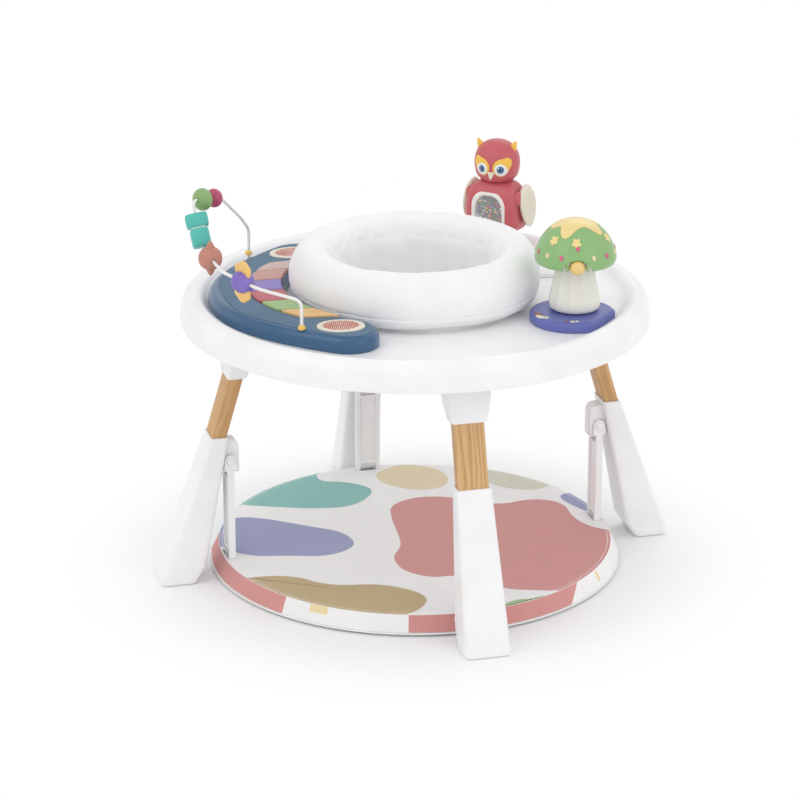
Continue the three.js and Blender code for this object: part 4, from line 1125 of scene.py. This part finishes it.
t = np.linspace(0, 2 * np.pi, 72, endpoint=False)
body = on_wire(egg(14.6, 17.8, 1.0, 17), 2, 0.42)
fit(lay("butterfly_body", body, violet), "bead_butterfly", "bead_butterfly", "bead_butterfly")
wings = []
for side in (-1, 1):
    scallop = 1 + 0.07 * np.cos(3 * t + 0.4) + 0.05 * np.cos(5 * t)
    outline = np.column_stack([side * (17 + 11 * np.cos(t) * scallop), 16.5 * np.sin(t) * scallop])
    middle = outline.mean(0)
    wings.append(on_wire(shifted(flake(outline - middle, 2.8), (0, *middle)), 2, 0.42))
fit(lay("butterfly_wings", wings, wing_yellow, 50), "bead_butterfly", "bead_butterfly")

fish = on_wire(egg(16.6, 16.8, 0.25, 12), 3, 0.63)
fit(lay("fish_body", fish, brown_pink), "bead_fish", "bead_fish", "bead_fish")
fins = []
for side in (-1, 1):
    profile = rounded([(8.5, 0), (8, 7), (4.5, 13), (0.6, 16)], 3, 4)
    cone = turned(profile, 32, end="point")
    x, y, z = cone[0].T
    fins.append(on_wire((np.column_stack([x * 0.75, side * (z + 9.5), y * 0.8]), cone[1]), 3, 0.63))
fit(lay("fish_fins", fins, brown_pink), "bead_fish", "bead_fish")

lobes = []
for z_low, z_high, half_x in ((-25, 0.2, 13), (2.8, 22, 15.5)):
    shapes = [hoop(half_x - s, 12 - s, 6) for s in (2.6, 0.8, 0, 0, 0.8, 2.6)]
    z = [z_low, z_low + 0.8, z_low + 3, z_high - 3, z_high - 0.8, z_high]
    lobes.append(on_wire(skin(stack(shapes, z)), 4, 0.42))
fit(lay("block_lobes", lobes, teal), "bead_blocks", "bead_blocks", "bead_blocks")
band = on_wire(skin(stack([hoop(11, 9.5, 5)] * 2, [-0.4, 3.4])), 4, 0.42)
fit(lay("block_band", band, pale_teal), "bead_blocks", "bead_blocks")
studs = [on_wire(shifted((c[0][:, [2, 1, 0]], c[1]), (half_x - 0.7, 0, z)), 4, 0.42) for c, half_x, z in
         [(turned(rounded([(3.6, 0), (3.2, 1), (0.5, 1.6)], 0.6, 3), 24, end="point"), 13, -12)]]
fit(lay("block_stud", studs, pale_teal), "bead_blocks", "bead_blocks")
fit(lay("bead_green_look", on_wire(egg(15.8, 11.8), 5, 0.37), leaf_green), "bead_green", "bead_green", "bead_green")
fit(lay("bead_magenta_look", on_wire(egg(13.3, 11.3), 5, 0.78), magenta), "bead_magenta", "bead_magenta", "bead_magenta")
print("wire", round(float(np.linalg.norm(np.diff(wire_path, axis=0), axis=1).sum())), "mm long")

# %% [markdown]
# ## The owl
# The owl is a rounded block for a body, with a window of rolling beads in its belly, a wing
# on each side and a domed head with two ears. It faces the seat. Its eyes are stacks of thin
# discs, each with its own colour, so their edges stay sharp from close by.

# %% Owl pedestal and body
owl_low, owl_high = box_of("owl_pedestal")
owl_x, owl_y = (owl_low[:2] + owl_high[:2]) / 2
body_low, body_high = box_of("owl_body")
body_foot, body_top = body_low[2], body_high[2]
profile = rounded([
    (32, owl_low[2]), (32, owl_low[2] + 4.2), (18, owl_low[2] + 8), (14, body_foot - 1), (8, body_foot - 1),
    (8, owl_high[2])], 2.5, 5)
pedestal = lay("owl_pedestal_look", turned(profile, 64, (owl_x, owl_y)), white_grained)
fit(pedestal, "table", "white_plastic", "owl_pedestal")

owl_red = moulded("owl_red", (200, 92, 98), 0.42, 0.2)
owl_cream = moulded("owl_cream", (233, 226, 210), 0.5)
owl_yellow = moulded("owl_yellow", (246, 196, 76), 0.42, 0.1)
owl_white = moulded("owl_white", (240, 238, 232), 0.4)
owl_blue = moulded("owl_blue", (52, 112, 160), 0.25, 0.6)


def at_owl(part):
    """Owl parts are drawn with their front towards minus Y."""
    return shifted(part, (owl_x, owl_y, 0))


levels = [(body_foot, 35, 21), (body_foot + 1, 38.5, 24), (body_foot + 7, 42, 26.5), (body_foot + 22, 42.2, 27),
          (body_top - 32, 41, 27), (body_top - 18, 38, 26), (body_top - 8, 32.5, 22.5), (body_top - 2.5, 26, 18),
          (body_top, 20, 13)]
levels = rounded(levels, 6, 4)
body = skin(np.array([np.column_stack([hoop(x, y, 15, 8), np.full(36, z)]) for z, x, y in levels]))
owl_body = lay("owl_body_look", at_owl(body), owl_red)
window_low, window_high = body_foot + 7, body_foot + 58


def window_outline(grow, steps=6):
    """An arch: square foot corners a little round, shoulders cut and rounded."""
    h, low, high = 27 + grow, window_low - grow, window_high + grow
    return rounded([(h, low), (h, high - 13), (h - 11, high), (11 - h, high), (-h, high - 13), (-h, low)],
                   [4, 9, 7, 7, 9, 4], steps, closed=True)


def upright(outlines, fronts):
    """Outlines in the XZ plane at given Y positions."""
    return skin(np.array([np.column_stack([o[:, 0], np.full(len(o), y), o[:, 1]]) for o, y in zip(outlines, fronts)]))


pit = at_owl(upright([window_outline(0)] * 2, [-45, -11]))
carve(owl_body, pit)
fit(owl_body, "owl", "owl_plastic", "owl_body")

# %% Window frame, beads and pane
front = -28
frame_rows = [(0.2, -13), (0.2, front + 0.6), (-0.5, front), (-3.6, front), (-4.6, front + 0.8), (-5.2, front + 3), (-5.2, -13)]
frame_skin = skin(np.array([np.column_stack([o[:, 0], np.full(len(o), y), o[:, 1]]) for o, y in
                  [(window_outline(g), y) for g, y in frame_rows]]), "ring", "ring")
window = lay("owl_window_frame", at_owl(frame_skin), owl_white, 50)
fit(window, "owl", "window_plastic", "owl_window")
# The dark sheet behind the beads is painted shade: it covers the pit's own red back wall and stands for the shadow deep
# in the window.
painted_shade_finish = moulded("window_painted_shade_plastic", (74, 58, 58), 0.6)
painted_shade_sheet = at_owl(upright([window_outline(-4.6)] * 2, [-15.5, -13.5]))
fit(lay("owl_window_painted_shade", painted_shade_sheet, painted_shade_finish), "owl", "window_plastic")
grain = np.random.default_rng(7)
spots = []
for _ in range(900):
    spot = np.array([grain.uniform(-20.5, 20.5), grain.uniform(-23.2, -17.5), grain.uniform(window_low + 7, window_low + 36)])
    if all(np.linalg.norm(spot - other) > 3.9 for other in spots):
        spots.append(spot)
tints = {"red": (206, 50, 66), "green": (52, 150, 84), "purple": (126, 78, 160), "yellow": (240, 196, 70), "clear": (226, 232, 234)}
ball_rows = turned([(2.0 * np.sin(b), -2.0 * np.cos(b)) for b in np.linspace(0.25, np.pi - 0.25, 7)], 10)
for number, (tint, colour) in enumerate(tints.items()):
    finish = moulded("bead_fill_" + tint, colour, 0.2, 0.4)
    group = [at_owl(shifted(ball_rows, spot)) for spot in spots[number::len(tints)]]
    fit(lay("owl_fill_" + tint, group, finish, 60), "owl", "window_plastic")
pane_finish, nodes, links, shader, place = new_finish("window_pane", 0.05, Alpha=0.16, IOR=1.45)
shader.inputs["Base Color"].default_value = (0.9, 0.93, 0.95, 1)
bump(nodes, links, shader, noise(nodes, links, place, 60), 0.00004)
pane = at_owl(upright([window_outline(-4.4), window_outline(-4.4), window_outline(-9)], [front + 3.6, front + 2.6, front + 1.8]))
fit(lay("owl_window_pane", pane, pane_finish), "owl", "window_plastic")

# %% [markdown]
# ## Wings, head and eyes
# The wings are flattened eggs with ribs that run down them, like feathers. The head is a
# dome, a bit flat from front to back, and what lies on it follows its curve.

# %% Wings and shoulders
wing_parts, shoulder_parts = [], []
for side in (-1, 1):
    s = np.linspace(-0.985, 0.985, 40)
    a = np.linspace(0, 2 * np.pi, 96, endpoint=False)[None, :]
    size = np.sqrt(1 - s**2)[:, None] * (1 + 0.12 * s[:, None])
    x = 8.2 * size * np.cos(a)
    y = 20.5 * size * np.sin(a) * (1 + 0.05 * np.cos(5 * a))
    x = x * (1 + 0.16 * np.cos(y * 2 * np.pi / 6.2))
    z = 31.5 * s[:, None] + np.zeros_like(x) - 2
    lean = np.radians(side * 9)
    outward_x = (x - z * np.sin(abs(lean))) * 0.9 * side
    rows = np.stack([side * 46.5 + outward_x, y + 8, z * np.cos(lean) + body_foot + 39], -1)
    wing_parts.append(at_owl(skin(rows)))
    bead = turned([(8 * np.sin(b), -8 * np.cos(b)) for b in np.linspace(0.1, np.pi - 0.1, 20)], 32)
    x, y, z = bead[0].T
    shoulder_parts.append(at_owl((np.column_stack([x * 1.05 + side * 38, y * 1.2 - 8, z * 1.4 + body_top - 24]), bead[1])))
fit(lay("owl_wings", wing_parts, owl_cream, 60), "owl", "owl_plastic")
fit(lay("owl_shoulders", shoulder_parts, owl_red, 60), "owl", "owl_plastic")

# %% Head, ears, eyes and beak
head_low, head_high = box_of("owl_head")
head_foot = body_top + 0.6
dome = rounded([(24, 0), (31, 7), (34, 22), (33.2, 35), (28, 47), (18, 55.5), (8, 58.5), (0.6, 59)],
               [2, 6, 8, 8, 8, 7, 4, 2], 5)


def head_reach(z):
    """The head's half width at a height."""
    return np.interp(z - head_foot, dome[:, 1], dome[:, 0])


def on_face(x, z, lift=0.0):
    """The face's depth under a point: its ellipse's front, moved out by lift."""
    reach = head_reach(z)
    share = np.clip(x / reach, -0.98, 0.98)
    return -0.9 * reach * np.sqrt(1 - share**2) - lift


skull = turned(np.column_stack([dome[:, 0], dome[:, 1] + head_foot]), 96, end="point")
skull = (skull[0] * np.array([1, 0.9, 1]), skull[1])


def at_head(part):
    """The head looks ten degrees off to the mushroom's side."""
    return at_owl(spun(part, 10))


fit(lay("owl_head_look", at_head(skull), owl_red), "owl_head", "owl_plastic", "owl_head")


def decal(outline, lift, name, finish, layers=7):
    """A dome-shaped patch on the face: rings of the outline shrink to its middle, and each
    lies lift above the head, less at the rim."""
    middle = outline.mean(0)
    rows = []
    for share in np.cos(np.linspace(0, np.pi / 2 * 0.97, layers)):
        line = middle + (outline - middle) * share
        height = -0.6 + (lift + 0.6) * np.sqrt(max(0.0, 1 - share**2)) if share < 1 else -1.4
        rows.append(np.column_stack([line[:, 0], on_face(line[:, 0], line[:, 1], height), line[:, 1]]))
    return fit(lay(name, at_head(skin(np.array(rows))), finish, 60), "owl_head", "owl_plastic")


def oval(x, z, half_x, half_z, tilt=0.0):
    t = np.linspace(0, 2 * np.pi, 48, endpoint=False)
    a, b, c, s = half_x * np.cos(t), half_z * np.sin(t), np.cos(np.radians(tilt)), np.sin(np.radians(tilt))
    return np.column_stack([x + a * c - b * s, z + a * s + b * c])


for side, name in ((-1, "right"), (1, "left")):
    eye_x, eye_z = side * 14.2, head_foot + 21
    mask = oval(eye_x + side * 1.0, eye_z + 2.2, 13.2, 14.4, side * -24)
    brow = side * (mask[:, 0] - eye_x) > 2
    mask[:, 1] += np.where(brow, np.clip(side * (mask[:, 0] - eye_x) - 2, 0, 12) * 0.55, 0)
    decal(mask, 1.2, "owl_mask_" + name, owl_yellow)
    decal(oval(eye_x, eye_z, 9.8, 10.4), 2.3, "owl_eye_" + name, owl_white)
    decal(oval(eye_x, eye_z, 7.0, 7.6), 3.0, "owl_pupil_" + name, owl_blue)
    decal(oval(eye_x, eye_z, 3.4, 4.0), 3.7, "owl_iris_" + name, moulded("iris_" + name, (28, 44, 66), 0.15, 0.8))
    decal(oval(eye_x - 2.4, eye_z + 2.8, 1.3, 1.5), 4.0, "owl_glint_" + name, owl_white)
beak_line = [(5.2, 0), (5.0, 1.6), (3.6, 5.5), (1.6, 9.5), (0.3, 11.5)]
beak = turned(rounded(beak_line, 2, 4), 32, end="point")
x, y, z = beak[0].T
beak_foot = head_foot + 17
tilted = np.column_stack([x, y * 0.8 - z * 0.25 + on_face(0, beak_foot, -1.2), beak_foot - z])
fit(lay("owl_beak", at_head((tilted, beak[1])), owl_cream), "owl_head", "owl_plastic")
ears = []
for side in (-1, 1):
    cone = turned(rounded([(7.6, -10), (6.6, -4), (4.6, 3), (2.2, 9), (0.4, 11)], 2.5, 4), 36, end="point")
    x, y, z = cone[0].T
    lean = np.radians(side * 26)
    x, z = x * np.cos(lean) + z * np.sin(lean), z * np.cos(lean) - x * np.sin(lean)
    ears.append(at_head((np.column_stack([x + side * 24.5, y * 0.6 - 2, z + head_foot + 49]), cone[1])))
fit(lay("owl_ears", ears, owl_yellow), "owl_head", "owl_plastic")
print("owl", round(head_high[2]), "mm high, window beads:", len(spots))

# %% [markdown]
# ## The mushroom
# The mushroom is a cap that turns on a fluted stem, over a round foot with one flat side. A
# glaze of pale yellow runs down the cap from its top, and a ribbed ball sits in a notch at
# its rim. What lies on the cap is a thin patch that follows the cap's own profile.

# %% Foot and stem
base_low, base_high = box_of("mushroom_base")
cap_low, cap_high = box_of("mushroom_cap")
stem_low, stem_high = box_of("mushroom_stem")
axis = (stem_low[:2] + stem_high[:2]) / 2
foot_middle = np.array([(base_low[1] + base_high[1]) / 2])
foot_middle = np.array([base_low[0] + 59, foot_middle[0]])
periwinkle = moulded("foot_periwinkle", (98, 106, 178), 0.4, 0.2)


def foot_outline(inset):
    """A circle of radius 59 cut flat at 48 from its middle."""
    t = np.linspace(0, 2 * np.pi, 120, endpoint=False)
    r = 59 - inset
    line = np.column_stack([np.minimum(r * np.cos(t), 48 - inset), r * np.sin(t)])
    return line + foot_middle


base_z = [0, 0.8, 8.5, 11, 12.6, 13.3, 13.3]
base_in = [0.8, 0, 0, 0.8, 2.6, 5, 8]
base_top_z = base_high[2]
base_z = np.array(base_z) / 13.3 * (base_top_z - base_low[2]) + base_low[2]
foot = lay("mushroom_foot", skin(stack([foot_outline(i) for i in base_in], base_z)), periwinkle)
fit(foot, "table", "base_plastic", "mushroom_base")
clouds = []
cloud_colours = {"cream": (236, 226, 200), "brown": (150, 102, 84)}
for name, colour, spots_at in (
        ("cream", cloud_colours["cream"], [(-29, -45, 4.4), (-23, -47, 5.2), (-17, -46, 4.0), (22, -44, 3.4), (27, -40, 2.6)]),
        ("brown", cloud_colours["brown"], [(-35, -38, 3.6), (-31, -36, 4.2), (-39, -34, 3.0), (15, -48, 2.4)])):
    parts = []
    for dx, dy, r in spots_at:
        t = np.linspace(0, 2 * np.pi, 32, endpoint=False)
        rows = [np.column_stack([dx + r * s * np.cos(t), dy + r * 0.8 * s * np.sin(t), np.full(32, base_top_z + z)])
                for s, z in ((1, -1), (1, 0.3), (0.9, 0.7), (0.6, 0.95), (0.1, 1.05))]
        parts.append((skin(np.array(rows))[0] + [*foot_middle, 0], skin(np.array(rows))[1]))
    fit(lay("foot_clouds_" + name, parts, moulded("cloud_" + name, colour, 0.5), 50), "table", "base_plastic")

stem_cream = moulded("stem_cream", (240, 238, 228), 0.45, 0.1)
stem_foot, stem_top = stem_low[2], cap_low[2] + 12
stem_line = rounded([(27, 0), (34.5, 2.5), (36.5, 12), (34, 25), (28.5, 50), (25.5, 68), (24.5, 80)], [2, 4, 8, 10, 12, 8, 2], 5)


def flutes(a, z):
    """Twelve flutes, deepest at the middle of the stem and gone at both ends."""
    share = np.clip((z - stem_foot) / 80, 0, 1)
    return 1 - 0.05 * np.abs(np.cos(6 * a)) ** 0.6 * np.sin(np.pi * share) ** 0.5


rows = np.column_stack([stem_line[:, 0], stem_line[:, 1] + stem_foot])
rows = np.vstack([rows, [8, stem_foot + 80.3], [8, stem_high[2]]])
stem = lay("mushroom_stem_look", turned(rows, 216, axis, wobble=flutes), stem_cream, 50)
fit(stem, "table", "stem_plastic", "mushroom_stem")

# %% Cap with its notch
rim_z = cap_low[2]
cap_green = moulded("cap_green", (140, 184, 118), 0.36, 0.3)
outside = rounded([(0.5, 59), (16, 57), (30, 51), (42, 40.5), (50, 28), (55.2, 15), (56.5, 5), (54, 0)],
                  [1, 6, 7, 7, 7, 6, 3, 1], 5)
inside = rounded([(50.5, 0), (51.5, 8), (46.5, 24), (38, 36), (26, 45), (12, 48), (0.5, 48)], [1, 3, 6, 6, 5, 3, 1], 4)
shell = np.vstack([outside, inside]) + [0, rim_z]
cap = lay("mushroom_cap_look", turned(shell, 144, axis, "point", "point"), cap_green)
ball_turn = -60
low, high = box_of("mushroom_ball")
ball_middle = (low + high) / 2


def facing_ball(part):
    """Parts drawn facing plus X, turned to the ball's side of the cap."""
    return shifted(spun(part, ball_turn), (*axis, 0))


t = np.linspace(0, 2 * np.pi, 64, endpoint=False)
circle = [np.column_stack([np.full(64, x), 20.5 * np.cos(t), 20.5 * np.sin(t) + rim_z - 4]) for x in (30, 80)]
carve(cap, facing_ball(skin(np.array(circle))))
fit(cap, "cap", "cap_plastic", "mushroom_cap")
cheeks = []
for side in (-1, 1):
    line = rounded([(41, ball_middle[2] - 5), (54, ball_middle[2] - 5), (55, ball_middle[2] + 4), (50, rim_z + 22), (41, rim_z + 22)],
                   [4, 4, 4, 2, 2], 5, closed=True)
    rows = [np.column_stack([line[:, 0], np.full(len(line), y), line[:, 1]]) for y in (side * 12.2, side * 15.2)]
    cheeks.append(facing_ball(skin(np.array(rows))))
fit(lay("cap_cheeks", cheeks, cap_green, bevel=0.6), "cap", "cap_plastic")

# %% Ball
ball_yellow = moulded("ball_yellow", (240, 207, 132), 0.4, 0.2)
b = np.linspace(0.06, np.pi - 0.06, 56)
profile = np.column_stack([11 * np.sin(b) + 0.3 * np.cos(22 * b) * np.sin(b), 11 * np.cos(b)])
roller = turned(profile, 64)
x, y, z = roller[0].T
roller = (np.column_stack([x + 48, z, y + ball_middle[2]]), roller[1])
pin = turned([(2.2, -16), (2.2, 16)], 20)
x, y, z = pin[0].T
pin = (np.column_stack([x + 48, z, y + ball_middle[2]]), pin[1])
fit(lay("mushroom_ball_look", [facing_ball(roller), facing_ball(pin)], ball_yellow), "ball", "ball_plastic", "mushroom_ball")


# %% [markdown]
# ## Patches on the cap
# A patch is a curved sheet over the cap: rows go from its outline to its middle, and each
# point takes the height of the cap's profile at its own radius, raised by half a millimetre.
# It could be painted with a texture, but then the glaze would have no edge to catch light.

# %% Patches
def cap_patch(radii, angles, lift, name, finish, rows_count=26):
    """radii and angles (degrees) give the outline on the cap, as arc length from its top."""
    line = outside[::1]
    length = np.concatenate([[0], np.cumsum(np.hypot(*np.diff(line, axis=0).T))])
    x, y = radii * np.cos(np.radians(angles)), radii * np.sin(np.radians(angles))
    hub = np.array([x.mean(), y.mean()])
    shares = np.concatenate([[1, 1], np.linspace(0.985, 0.02, rows_count)])
    lifts = np.concatenate([[-0.8, lift * 0.4], np.full(rows_count, lift)])
    rows = []
    for share, raise_by in zip(shares, lifts):
        px, py = hub[0] + (x - hub[0]) * share, hub[1] + (y - hub[1]) * share
        way = np.hypot(px, py)
        r = np.interp(way, length, line[:, 0])
        z = np.interp(way, length, line[:, 1]) + rim_z
        slope_r = np.gradient(line[:, 0]) / np.hypot(np.gradient(line[:, 0]), np.gradient(line[:, 1]))
        slope_z = np.gradient(line[:, 1]) / np.hypot(np.gradient(line[:, 0]), np.gradient(line[:, 1]))
        r = r - raise_by * np.interp(way, length, slope_z)
        z = z + raise_by * np.interp(way, length, slope_r)
        a = np.arctan2(py, px)
        rows.append(np.column_stack([r * np.cos(a) + axis[0], r * np.sin(a) + axis[1], z]))
    return fit(lay(name, skin(np.array(rows)), finish, 60), "cap", "cap_plastic")


glaze = moulded("glaze_yellow", (240, 216, 146), 0.34, 0.3)
a = np.linspace(0, 360, 240, endpoint=False)
drip = 33 + 7 * np.cos(np.radians(5 * a + 40)) + 4.5 * np.cos(np.radians(3 * a - 60)) + 2.5 * np.cos(np.radians(8 * a))
cap_patch(drip, a, 0.9, "cap_glaze", glaze)


def around(way, azimuth, half_way, half_across, shape=None):
    """An outline about a point at arc length way and azimuth: half sizes down and across."""
    t = np.linspace(0, 2 * np.pi, 60, endpoint=False)
    swell = 1 if shape is None else shape(t)
    x = way + half_way * np.cos(t) * swell
    y = half_across * np.sin(t) * swell
    return np.hypot(x, y), azimuth + np.degrees(np.arctan2(y, x))


dot_pink = moulded("dot_pink", (219, 95, 136), 0.4, 0.2)
dot_cream = moulded("dot_cream", (234, 215, 166), 0.4, 0.2)
for number, azimuth in enumerate(range(-60 + 24, -60 + 360 - 20, 24)):
    tint, name = ((dot_cream, "cream"), (dot_pink, "pink"))[number % 2]
    cap_patch(*around(72, azimuth, 3.6, 3.4), 0.9, "cap_dot_%02d_%s" % (number, name), tint, 8)
cap_patch(*around(58, ball_turn, 3.2, 3.2), 0.9, "cap_dot_notch", dot_pink, 8)


def star(t):
    """Five soft points."""
    return 1 + 0.22 * np.cos(5 * t)


for number, azimuth in enumerate((-62, -105, 160, 80, 10)):
    cap_patch(*around(50, azimuth, 6.5, 6.5, star), 0.8, "cap_star_%d" % number, glaze, 12)

# %% [markdown]
# ## Ring rail
# Four rings run on a low steel rail by the mushroom. The rail is the wire's little brother,
# and it stands on a narrow plate.

# %% Rail and rings
rail_low, rail_high = box_of("ring_rail")
rail_turn = 32
rail_start = np.array([100.0, 172.0])
rail_top = rail_high[2] - 2.4


def at_rail(part):
    return shifted(spun(part, rail_turn), (*rail_start, 0))


path = rounded([(0, 0, rail_low[2] + 4), (0, 0, rail_top), (74, 0, rail_top), (74, 0, rail_low[2] + 4)], 13, 8)
fit(lay("ring_rail_bar", at_rail(tube(path, 2.4, 16)), wire_white), "table", "white_plastic", "ring_rail")
plate_shapes = [hoop(46 - s, 11 - s, 7) + [37, 0] for s in (0.4, 0, 0, 0.5, 1.6)]
plate_z = np.array([0, 0.5, 4.4, 5.2, 5.7]) + rail_low[2]
fit(lay("ring_rail_plate", at_rail(skin(stack(plate_shapes, plate_z))), white_grained), "table", "white_plastic")
ring_colours = {"green": (146, 184, 124), "blue": (86, 146, 196), "yellow": (242, 204, 110), "pink": (218, 110, 146)}
for number, (name, colour) in enumerate(ring_colours.items()):
    low, high = box_of("ring_" + name)
    middle = (low + high) / 2
    section = rounded([(3.3, -3.6), (8, -3.6), (10.5, 0), (8, 3.6), (3.3, 3.6)], [0.6, 2, 5, 2, 0.6], 5, closed=True)
    ring_part = turned(section, 48, start="ring", end="ring")
    x, y, z = ring_part[0].T
    ring_part = spun((np.column_stack([z, y, x]), ring_part[1]), rail_turn)
    finish = moulded("ring_%s_plastic" % name, colour, 0.35, 0.3)
    fit(lay("ring_look_" + name, shifted(ring_part, middle), finish), "ring_" + name, "ring_" + name, "ring_" + name)
print("rings", len(ring_colours))

# %% [markdown]
# ## Floor, light and camera
# The jumper stands on a plain white floor that fades into a white background. A large soft
# lamp from the upper left of the camera shapes it, a weaker one fills the right side, and
# the world lights the rest. The camera is far off with a long lens, which keeps the tray's
# ellipse calm.
# The floor isn't part of the jumper, but it rides on the front sleeve, because the feet
# stand on it. When the sleeves slide out, the table rises above the floor and the deck
# stays in sight, where a fixed floor would swallow both.

# %% Floor and background
def studio_white():
    """Diffuse near the object, so that its shadow shows, and plain white to the camera
    further out: share = smooth step of the distance from the middle."""
    material = bpy.data.materials.new("studio_floor")
    material.use_nodes = True
    nodes, links = material.node_tree.nodes, material.node_tree.links
    shader = nodes["Principled BSDF"]
    shader.inputs["Base Color"].default_value = (0.93, 0.93, 0.93, 1)
    shader.inputs["Roughness"].default_value = 0.9
    shader.inputs["Specular IOR Level"].default_value = 0.1
    place = nodes.new("ShaderNodeTexCoord")
    distance = nodes.new("ShaderNodeVectorMath")
    distance.operation = "LENGTH"
    links.new(place.outputs["Object"], distance.inputs[0])
    share = nodes.new("ShaderNodeMapRange")
    share.interpolation_type = "SMOOTHSTEP"
    share.inputs["From Min"].default_value = 0.3
    share.inputs["From Max"].default_value = 0.52
    links.new(distance.outputs["Value"], share.inputs["Value"])
    path = nodes.new("ShaderNodeLightPath")
    seen = nodes.new("ShaderNodeMath")
    seen.operation = "MAXIMUM"
    links.new(path.outputs["Is Camera Ray"], seen.inputs[0])
    links.new(path.outputs["Is Glossy Ray"], seen.inputs[1])
    factor = nodes.new("ShaderNodeMath")
    factor.operation = "MULTIPLY"
    links.new(share.outputs["Result"], factor.inputs[0])
    links.new(seen.outputs[0], factor.inputs[1])
    glow = nodes.new("ShaderNodeEmission")
    blend = nodes.new("ShaderNodeMixShader")
    links.new(factor.outputs[0], blend.inputs[0])
    links.new(shader.outputs[0], blend.inputs[1])
    links.new(glow.outputs[0], blend.inputs[2])
    links.new(blend.outputs[0], nodes["Material Output"].inputs["Surface"])
    return material


a = np.linspace(0, 2 * np.pi, 96, endpoint=False)
rings = [np.column_stack([r * np.cos(a), r * np.sin(a), np.full(96, -0.3)]) for r in (9000, 700, 300, 1)]
points, faces = skin(rings, "open", "point")
floor_mesh = bpy.data.meshes.new("floor")
floor_mesh.from_pydata((points * mm).tolist(), [], faces)
floor_piece = bpy.data.objects.new("floor", floor_mesh)
bpy.context.scene.collection.objects.link(floor_piece)
floor_mesh.materials.append(studio_white())
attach(floor_piece, "sleeve_front")

world = bpy.data.worlds.new("studio")
bpy.context.scene.world = world
world.use_nodes = True
nodes, links = world.node_tree.nodes, world.node_tree.links
soft = nodes["Background"]
soft.inputs["Color"].default_value = (1, 1, 1, 1)
soft.inputs["Strength"].default_value = 0.96
clear = nodes.new("ShaderNodeBackground")
path = nodes.new("ShaderNodeLightPath")
seen = nodes.new("ShaderNodeMath")
seen.operation = "MAXIMUM"
links.new(path.outputs["Is Camera Ray"], seen.inputs[0])
links.new(path.outputs["Is Glossy Ray"], seen.inputs[1])
choose = nodes.new("ShaderNodeMixShader")
links.new(seen.outputs[0], choose.inputs[0])
links.new(soft.outputs[0], choose.inputs[1])
links.new(clear.outputs[0], choose.inputs[2])
links.new(choose.outputs[0], nodes["World Output"].inputs["Surface"])


# %% Lamps and camera
def lamp(name, place, size, power):
    """A square lamp aimed at the middle of the table."""
    data = bpy.data.lights.new(name, "AREA")
    data.size = size
    data.energy = power
    piece = bpy.data.objects.new(name, data)
    aim(piece, place, (0, 0, 0.3))
    bpy.context.scene.collection.objects.link(piece)


def aim(piece, place, target):
    """Puts a lamp or camera at a place, looking at the target with its top upwards."""
    from mathutils import Vector
    piece.location = place
    piece.rotation_euler = (Vector(target) - Vector(place)).to_track_quat("-Z", "Y").to_euler()


lamp("key_lamp", (-1.0, -2.2, 2.6), 1.8, 9)
lamp("fill_lamp", (2.6, -0.6, 1.6), 1.6, 5)
lamp("back_lamp", (-0.5, 2.4, 2.2), 1.4, 5)

camera_data = bpy.data.cameras.new("camera")
camera_data.sensor_width = 36
camera_data.lens = 135.78
camera = bpy.data.objects.new("camera", camera_data)
aim(camera, (1.990386, -3.503430, 1.702961), (-0.0184645, -0.0106197, 0.2348669))
bpy.context.scene.collection.objects.link(camera)
bpy.context.scene.camera = camera
bpy.context.scene.view_settings.view_transform = "Standard"
